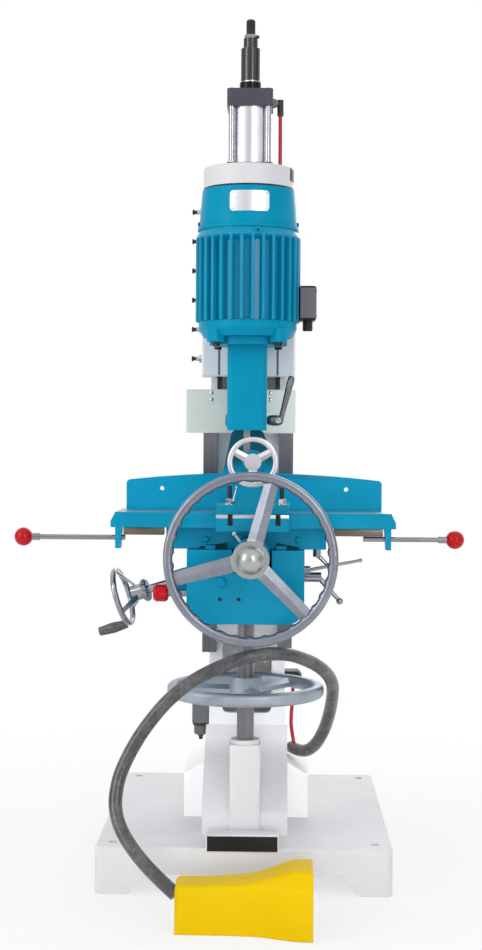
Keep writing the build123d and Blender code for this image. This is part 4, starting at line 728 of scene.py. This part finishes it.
# Work clamp: ground strip with two black blocks that paint the shade in its slots, studs with nuts, a small
# locking handle
clampStrip = {"spans": [(-55.5, 83.5)], "front": -404, "back": -402, "low": 736.5, "high": 743.6, "soft": 0.6}
clampSlots = {"spans": [(-33.5, -23.9), (57.8, 67.4)], "front": -404.3, "back": -390, "low": 723, "high": 744,
              "soft": 0.4}
piece("clampStrip", "table", "groundSteel", bars(clampStrip))
piece("clampSlots", "table", "plateBlack", bars(clampSlots))
clampLook = {"studs": [(-31, -372, 760), (69.5, -372, 760)], "radius": 4.6, "rise": 36, "tip": 3.6,
             "foot": -0.5, "step": 1.5, "depth": 0.35, "nut": hexHead(9, 11),
             "handle": ((-24, -378, 767), (-17.4, -378, 793), 1.8), "knob": ((-17, -378, 794.5), 3.2)}
radius, step, depth = clampLook["radius"], clampLook["step"], clampLook["depth"]
roots = [seat("clamp_bracket", spot, up) for spot in clampLook["studs"]]
thread = [(step * i, radius - depth * (i % 2)) for i in range(1, int(clampLook["rise"] / step))]
thread = [(clampLook["foot"], radius), *thread, (clampLook["rise"], clampLook["tip"])]
piece("clampStuds", "table", "blackOxide", [(turned, thread, root, up, 24) for root in roots])
piece("clampNuts", "table", "chrome", [
    (turned, profile, root, up, sides) for root in roots for profile, sides in clampLook["nut"]])
piece("clampHandle", "table", "chrome", [(rod, *clampLook["handle"]), (ball, *clampLook["knob"])])

# Table: iron runners under the front edge, a thin raised rule on the fence
runnerLook = {"spans": [(-239, -160), (172, 267)], "front": -329, "back": -305, "low": 699.5, "high": 714.2,
              "soft": 0.8}
piece("tableRunner", "table", "runnerIron", bars(runnerLook))
ruleLook = {"start": (70, 815), "end": (174, 808.6), "half": 2.2, "proud": 1.4, "sunk": 0.4, "y": -217}
half = ruleLook["half"]
(startX, startZ), (endX, endZ) = ruleLook["start"], ruleLook["end"]
outline = [(startX, startZ - half), (endX, endZ - half), (endX, endZ + half), (startX, startZ + half)]
outline = [Vector((x, seat("fence", (x, ruleLook["y"], z), near).y, z)) for x, z in outline]
piece("fenceRule", "table", "finBlue", [
    (prism, [v + near * ruleLook["proud"] for v in outline], [v + far * ruleLook["sunk"] for v in outline])])

# Saddle: chrome pin in the shaft boss, and dark teal wedges over the knee's ways that paint the shade in the
# gap between saddle and knee
pinLook = {"root": (12, -418, 665), "way": (-0.6, 0, 0.8), "from": 33, "to": 54, "radius": 2.6, "ball": 4.4}
foot, tip = (Vector(pinLook["root"]) + Vector(pinLook["way"]) * pinLook[key] for key in ("from", "to"))
piece("saddlePin", "saddle", "chrome", [(rod, foot, tip, pinLook["radius"]), (ball, tip, pinLook["ball"])])
gapShadeLook = {"front": -303, "back": -299.6, "low": 671.6, "outerTop": 675.6, "innerTop": 683.6,
             "spans": [(-92, -38), (104, 62)]}


def gapShadeWedge(form, look, outer, inner):
    low = look["low"]
    outline = [(outer, low), (inner, low), (inner, look["innerTop"]), (outer, look["outerTop"])]
    prism(form, *([(x, look[side], z) for x, z in outline] for side in ("front", "back")))


piece("wayWipers", "saddle", "wiperFelt", [(gapShadeWedge, gapShadeLook, *span) for span in gapShadeLook["spans"]])

# Head slide: stud ends of the gib screws, and two narrow dark strips beside the holder that paint the shade
# lines along the ways' edges
studLook = {"count": 6, "pitch": 61.2,
            "profile": [(-1, 4.4), (1, 4.4), (2, 3.8), (6, 3.8), (6, 5.6), (9, 5.6), (10, 4.6)]}
low, high = corners("gib_screws")
middle = (low + high) / 2
rises = [middle.z + studLook["pitch"] * (i - (studLook["count"] - 1) / 2) for i in range(studLook["count"])]
piece("gibStuds", "head", "blackOxide", [
    (turned, studLook["profile"], (low.x, middle.y, rise), left, 18) for rise in rises])
shadeLineLook = {"spans": [(-62.2, -57.8), (57.8, 62.2)], "front": -160.4, "back": -158.4, "low": 1018.5,
              "high": 1086, "soft": 0.2, "steps": 1}
piece("slideGrooves", "head", "boxPaint", bars(shadeLineLook))

# Chisel holder: blue boss opposite the clamp lever
bossLook = {"spot": (-39, -270, 925), "profile": [(-1, 12), (1, 12), (3, 10.8), (4, 8), (4.2, 4), (2.8, 3.6)]}
root = seat("chisel_holder", bossLook["spot"], left)
piece("holderBoss", "head", "bluePaint", [(turned, bossLook["profile"], root, left, 28)])

# Clamp lever: barrel-shaped hub with a bright button, handle that swells to a round end
leverLook = {"root": (39, -270, 925.2), "armFrom": 27.5, "lean": radians(14), "buttonAt": 22,
             "hub": [(0.4, 6.5), (2, 8.4), (6, 9.9), (14, 10.7), (23, 10.4), (29, 8.8), (32.4, 5.8),
                     (33.2, 3)],
             "arm": [(0, 5.2), (30, 5.6), (66, 6.8), (82, 7.3), (87, 6.4), (90, 4.2), (91.2, 1.5)],
             "button": [(8.6, 6.2), (10.9, 6.2), (12, 5), (12.4, 2)]}
root = Vector(leverLook["root"])
armRoot, buttonRoot = root + right * leverLook["armFrom"], root + right * leverLook["buttonAt"]
armWay = (sin(leverLook["lean"]), 0, cos(leverLook["lean"]))
hub, arm = (turned, leverLook["hub"], root, right, 40), (turned, leverLook["arm"], armRoot, armWay, 32)
piece("leverHub", "chisel_lever", "leverSteel", [hub], "chisel_lever")
piece("leverHandle", "chisel_lever", "leverSteel", [arm], "chisel_lever")
piece("leverButton", "chisel_lever", "chrome", [(turned, leverLook["button"], buttonRoot, near, 28)])

# Motor: frame with cast fins that run out into a smooth shoulder; foot and fade give (rise, share) pairs
finLook = {"count": 30, "core": 89, "tip": 103.5, "low": 1118.2, "high": 1297.2, "runOut": 1279, "bore": 85,
           "section": [(-3.9, 0.03), (-3.55, 0.2), (-3.5, 0.72), (-3.15, 0.86), (-2.3, 0.96), (-0.9, 1),
                       (0.9, 1), (2.3, 0.96), (3.15, 0.86), (3.5, 0.72), (3.55, 0.2), (3.9, 0.03)],
           "foot": [(0, 0.9), (1, 0.97), (3, 1)],
           "fade": [(-16, 0), (-7, 0.04), (-3, 0.3), (0, 0.75), (2, 0.96), (4, 1)],
           "shoulder": 97.2, "shoulderSteps": 6, "shoulderCurve": 1.4}


def finnedFrame(form, look):
    pitch = tau / look["count"]
    deep = look["tip"] - look["core"]
    turns = []
    for i in range(look["count"]):
        turns += [(i * pitch + across / look["tip"], share) for across, share in look["section"]]
        turns.append(((i + 0.5) * pitch, 0))
    levels = [(look["low"] + rise, share, 0) for rise, share in look["foot"]]
    levels += [(look["runOut"] + rise, 1, full) for rise, full in look["fade"]]
    rows = [[(look["low"], look["bore"])] * len(turns)]
    for height, share, full in levels:
        rows.append([(height, look["core"] + deep * share * max(rise, full)) for _, rise in turns])
    start, steps = levels[-1][0], look["shoulderSteps"]
    for k in range(1, steps + 1):  # shoulder drawn in towards the cowl
        drawn = sin(tau / 4 * k / steps) ** look["shoulderCurve"]
        radius = look["tip"] + (look["shoulder"] - look["tip"]) * drawn
        rows.append([(start + (look["high"] - start) * k / steps, radius)] * len(turns))
    rows.append([(look["high"], look["bore"])] * len(turns))
    rings = [[form.verts.new((spindle + Vector((r * cos(t), r * sin(t), z))) / 1000)
              for (z, r), (t, _) in zip(row, turns)] for row in rows]
    for a, b in zip(rings, rings[1:] + rings[:1]):
        join(form, a, b)


piece("finnedFrame", "head", "finBlue", [(finnedFrame, finLook)], "motor_frame")

# Motor: lifting boss, terminal box lid and ribbed gland
liftLook = {"place": (20, -270, 1288), "profile": [(88, 8), (101.8, 8), (103, 6.8), (103, 3.4), (99.5, 3.2)]}
piece("liftingBoss", "head", "bluePaint", [(turned, liftLook["profile"], liftLook["place"], near, 24)])
lidLook = {"edge": 2.4, "sunk": 1, "proud": 1.6, "drop": 64.6, "soft": 0.9}
edge = lidLook["edge"]
piece("terminalLid", "head", "boxPaint", [
    (slab, (boxHigh.x - lidLook["sunk"], boxLow.y + edge, boxHigh.z - lidLook["drop"]),
     (boxHigh.x + lidLook["proud"], boxHigh.y - edge, boxHigh.z - edge), lidLook["soft"], 2)])
glandLook = {"place": (118.5, -270, boxHigh.z - 67), "from": 2, "count": 7, "pitch": 2.4,
             "rib": [(0.1, 9.1), (0.35, 10.4), (0.7, 10.4), (0.9, 9.1)]}
ribs = [(glandLook["from"] + glandLook["pitch"] * (i + share), radius) for i in range(glandLook["count"])
        for share, radius in glandLook["rib"]]
piece("glandRibs", "head", "blackPlastic", [(turned, ribs, glandLook["place"], down, 28)])

# Stroke stem: cut thread and a grub screw in its lock nut
stemLook = {"foot": (0, -127.5, 1721), "root": 9.05, "crest": 9.7, "step": 1.25, "count": 23,
            "grubAt": (0, -127.5, 1716.4), "grub": [(9, 3.4), (17, 3.4), (17.6, 2.8), (17.6, 1.6), (15, 1.5)]}
thread = [(stemLook["step"] * i, stemLook["crest" if i % 2 else "root"]) for i in range(stemLook["count"])]
piece("stemThread", "stroke_stem", "blackOxide", [(turned, thread, stemLook["foot"], up, 36)])
piece("stemGrub", "stroke_stem", "adjusterBlack", [(turned, stemLook["grub"], stemLook["grubAt"], right, 20)])

# Air line: nut at the elbow, collar under the valve, filter band and drain
nutLook = {"place": (47, -127.5, corners("air_elbow")[1].z - 6.5),
           "hex": [(0, 9.4), (5.6, 9.4), (6.4, 8.6)], "collar": [(6, 7.6), (10, 7.6), (10.6, 7)]}
piece("elbowNut", "frame", "screwSteel", [
    (turned, nutLook[part], nutLook["place"], right, sides) for part, sides in (("hex", 6), ("collar", 24))])
valveLook = {"place": (98, -38, corners("air_valve")[0].z),
             "profile": [(-1, 8.6), (4, 8.6), (4.6, 7.4), (11, 7.4), (12, 6.6)]}
piece("valveCollar", "frame", "bronze", [(turned, valveLook["profile"], valveLook["place"], down, 24)])
filterLook = {"band": [(0.5, 16.6), (-1, 17.2), (-6, 17.2), (-7, 16.4), (-7, 14), (0.5, 14)],
              "drain": [(-1, 6), (3, 6), (4, 4.4), (9, 4.4), (10, 3.4)]}
low, high = corners("filter_bowl")
middle = (low + high) / 2
piece("filterBand", "frame", "blackPlastic", [
    (turned, filterLook["band"], (middle.x, middle.y, high.z), up, 36, True),
    (turned, filterLook["drain"], (middle.x, middle.y, low.z), down, 18)])

# Crank: graduated collar behind the hub
crankLook = {"root": (-115, -268, 611), "way": (-0.946998, 0.133092, -0.292372),
             "collar": [(84, 11), (84, 20), (86, 22.4), (93, 23), (95, 21.6), (96, 11)],
             "ticks": 40, "tickFrom": 87, "tickAt": 22.5, "tickRadius": 0.35, "long": 5.2, "short": 3.2,
             "every": 5}
piece("crankCollar", "crank", "handSteel", [
    (turned, crankLook["collar"], crankLook["root"], crankLook["way"], 48)])


def crankTicks(form, look):
    axis = Vector(look["way"])
    across = axis.orthogonal().normalized()
    for i in range(look["ticks"]):
        turn = tau * i / look["ticks"]
        outward = across * cos(turn) + axis.cross(across) * sin(turn)
        spot = Vector(look["root"]) + axis * look["tickFrom"] + outward * look["tickAt"]
        length = look["short"] if i % look["every"] else look["long"]
        rod(form, spot, spot + axis * length, look["tickRadius"], 6)


piece("crankTicks", "crank", "blackOxide", [(crankTicks, crankLook)])

# Pedal: hood pressed from one sheet, open at the right
# Its stations are x, half width, shoulder, half top, height
hoodLook = {"middle": -564, "floor": 1, "wall": 3, "softShoulder": 9, "softTop": 9, "softMost": 0.48,
            "softEnd": 7, "endTurns": (90, 67, 45, 22), "steps": 6, "rows": 36, "topInset": 0.7,
            "stations": [(-119, 40.6, 80, 35, 87), (-20, 42.6, 82, 36, 90), (35, 48.6, 84, 38, 98),
                         (90, 70.6, 86, 45, 116), (129, 76.6, 88, 47, 118)]}


def swept(stations, x):  # a station at x on a smooth line through the given ones
    i = max(k for k in range(len(stations) - 1) if stations[k][0] <= x or k == 0)
    a, b = stations[max(i - 1, 0)], stations[i]
    c, d = stations[i + 1], stations[min(i + 2, len(stations) - 1)]
    t = (x - b[0]) / (c[0] - b[0])

    def blend(k):
        inSlope = (c[k] - a[k]) / (c[0] - a[0]) * (c[0] - b[0])
        outSlope = (d[k] - b[k]) / (d[0] - b[0]) * (c[0] - b[0])
        return ((2 * t ** 3 - 3 * t ** 2 + 1) * b[k] + (t ** 3 - 2 * t ** 2 + t) * inSlope
                + (3 * t ** 2 - 2 * t ** 3) * c[k] + (t ** 3 - t ** 2) * outSlope)
    return [blend(k) for k in range(1, 5)]


def rounded(outline, most, steps):  # an open line of (y, z, softness) corners; most is a share of a side
    line = [Vector(outline[0][:2])]
    for before, here, after in zip(outline, outline[1:], outline[2:]):
        corner, back, ahead = Vector(here[:2]), Vector(before[:2]), Vector(after[:2])
        start = corner + (back - corner) * min(here[2] / (back - corner).length, most)
        end = corner + (ahead - corner) * min(here[2] / (ahead - corner).length, most)
        for k in range(steps + 1):
            t = k / steps
            line.append(start * (1 - t) ** 2 + corner * 2 * t * (1 - t) + end * t ** 2)
    return line + [Vector(outline[-1][:2])]


def pedalShell(form, look):
    first, last = look["stations"][0][0], look["stations"][-1][0]
    end, wall, count = look["softEnd"], look["wall"], look["rows"]
    turns = [radians(t) for t in look["endTurns"]]
    places = [(first + end * (1 - sin(t)), end * (1 - cos(t))) for t in turns]
    places += [(first + end + (last - first - end) * i / count, 0) for i in range(count + 1)]

    def skinAt(x, inset):
        half, shoulder, topHalf, height = swept(look["stations"], min(max(x, first), last))
        half, topHalf = half - inset, topHalf - inset * look["topInset"]
        shoulder, height = shoulder - inset, height - inset
        outline = [(-half, look["floor"], 0), (-half, shoulder, look["softShoulder"]),
                   (-topHalf, height, look["softTop"]), (topHalf, height, look["softTop"]),
                   (half, shoulder, look["softShoulder"]), (half, look["floor"], 0)]
        line = rounded(outline, look["softMost"], look["steps"])
        return [form.verts.new(mm(x, look["middle"] + v.x, v.y)) for v in line]

    outer = [skinAt(x, inset) for x, inset in places]
    inner = [skinAt(max(x, first + wall), inset + wall) for x, inset in places]
    for rows in (outer, inner):
        for a, b in zip(rows, rows[1:]):
            join(form, a, b, False)
        form.faces.new(rows[0])
    join(form, outer[-1], inner[-1], False)  # rim of the mouth
    for k in (0, -1):  # lower edges
        join(form, [row[k] for row in outer], [row[k] for row in inner], False)
    form.faces.new((outer[0][0], outer[0][-1], inner[0][-1], inner[0][0]))


piece("pedalShell", "frame", "yellowPaint", [(pedalShell, hoodLook)], "pedal_hood")

# Ribbed tread of the treadle
treadLook = {"spans": [(x, x + 4.5) for x in range(20, 100, 9)], "front": -588, "back": -540, "low": 47.4,
             "high": 49.8, "soft": 0.8}
piece("treadRibs", "treadle", "blackPlastic", bars(treadLook))
print("small pieces fitted")
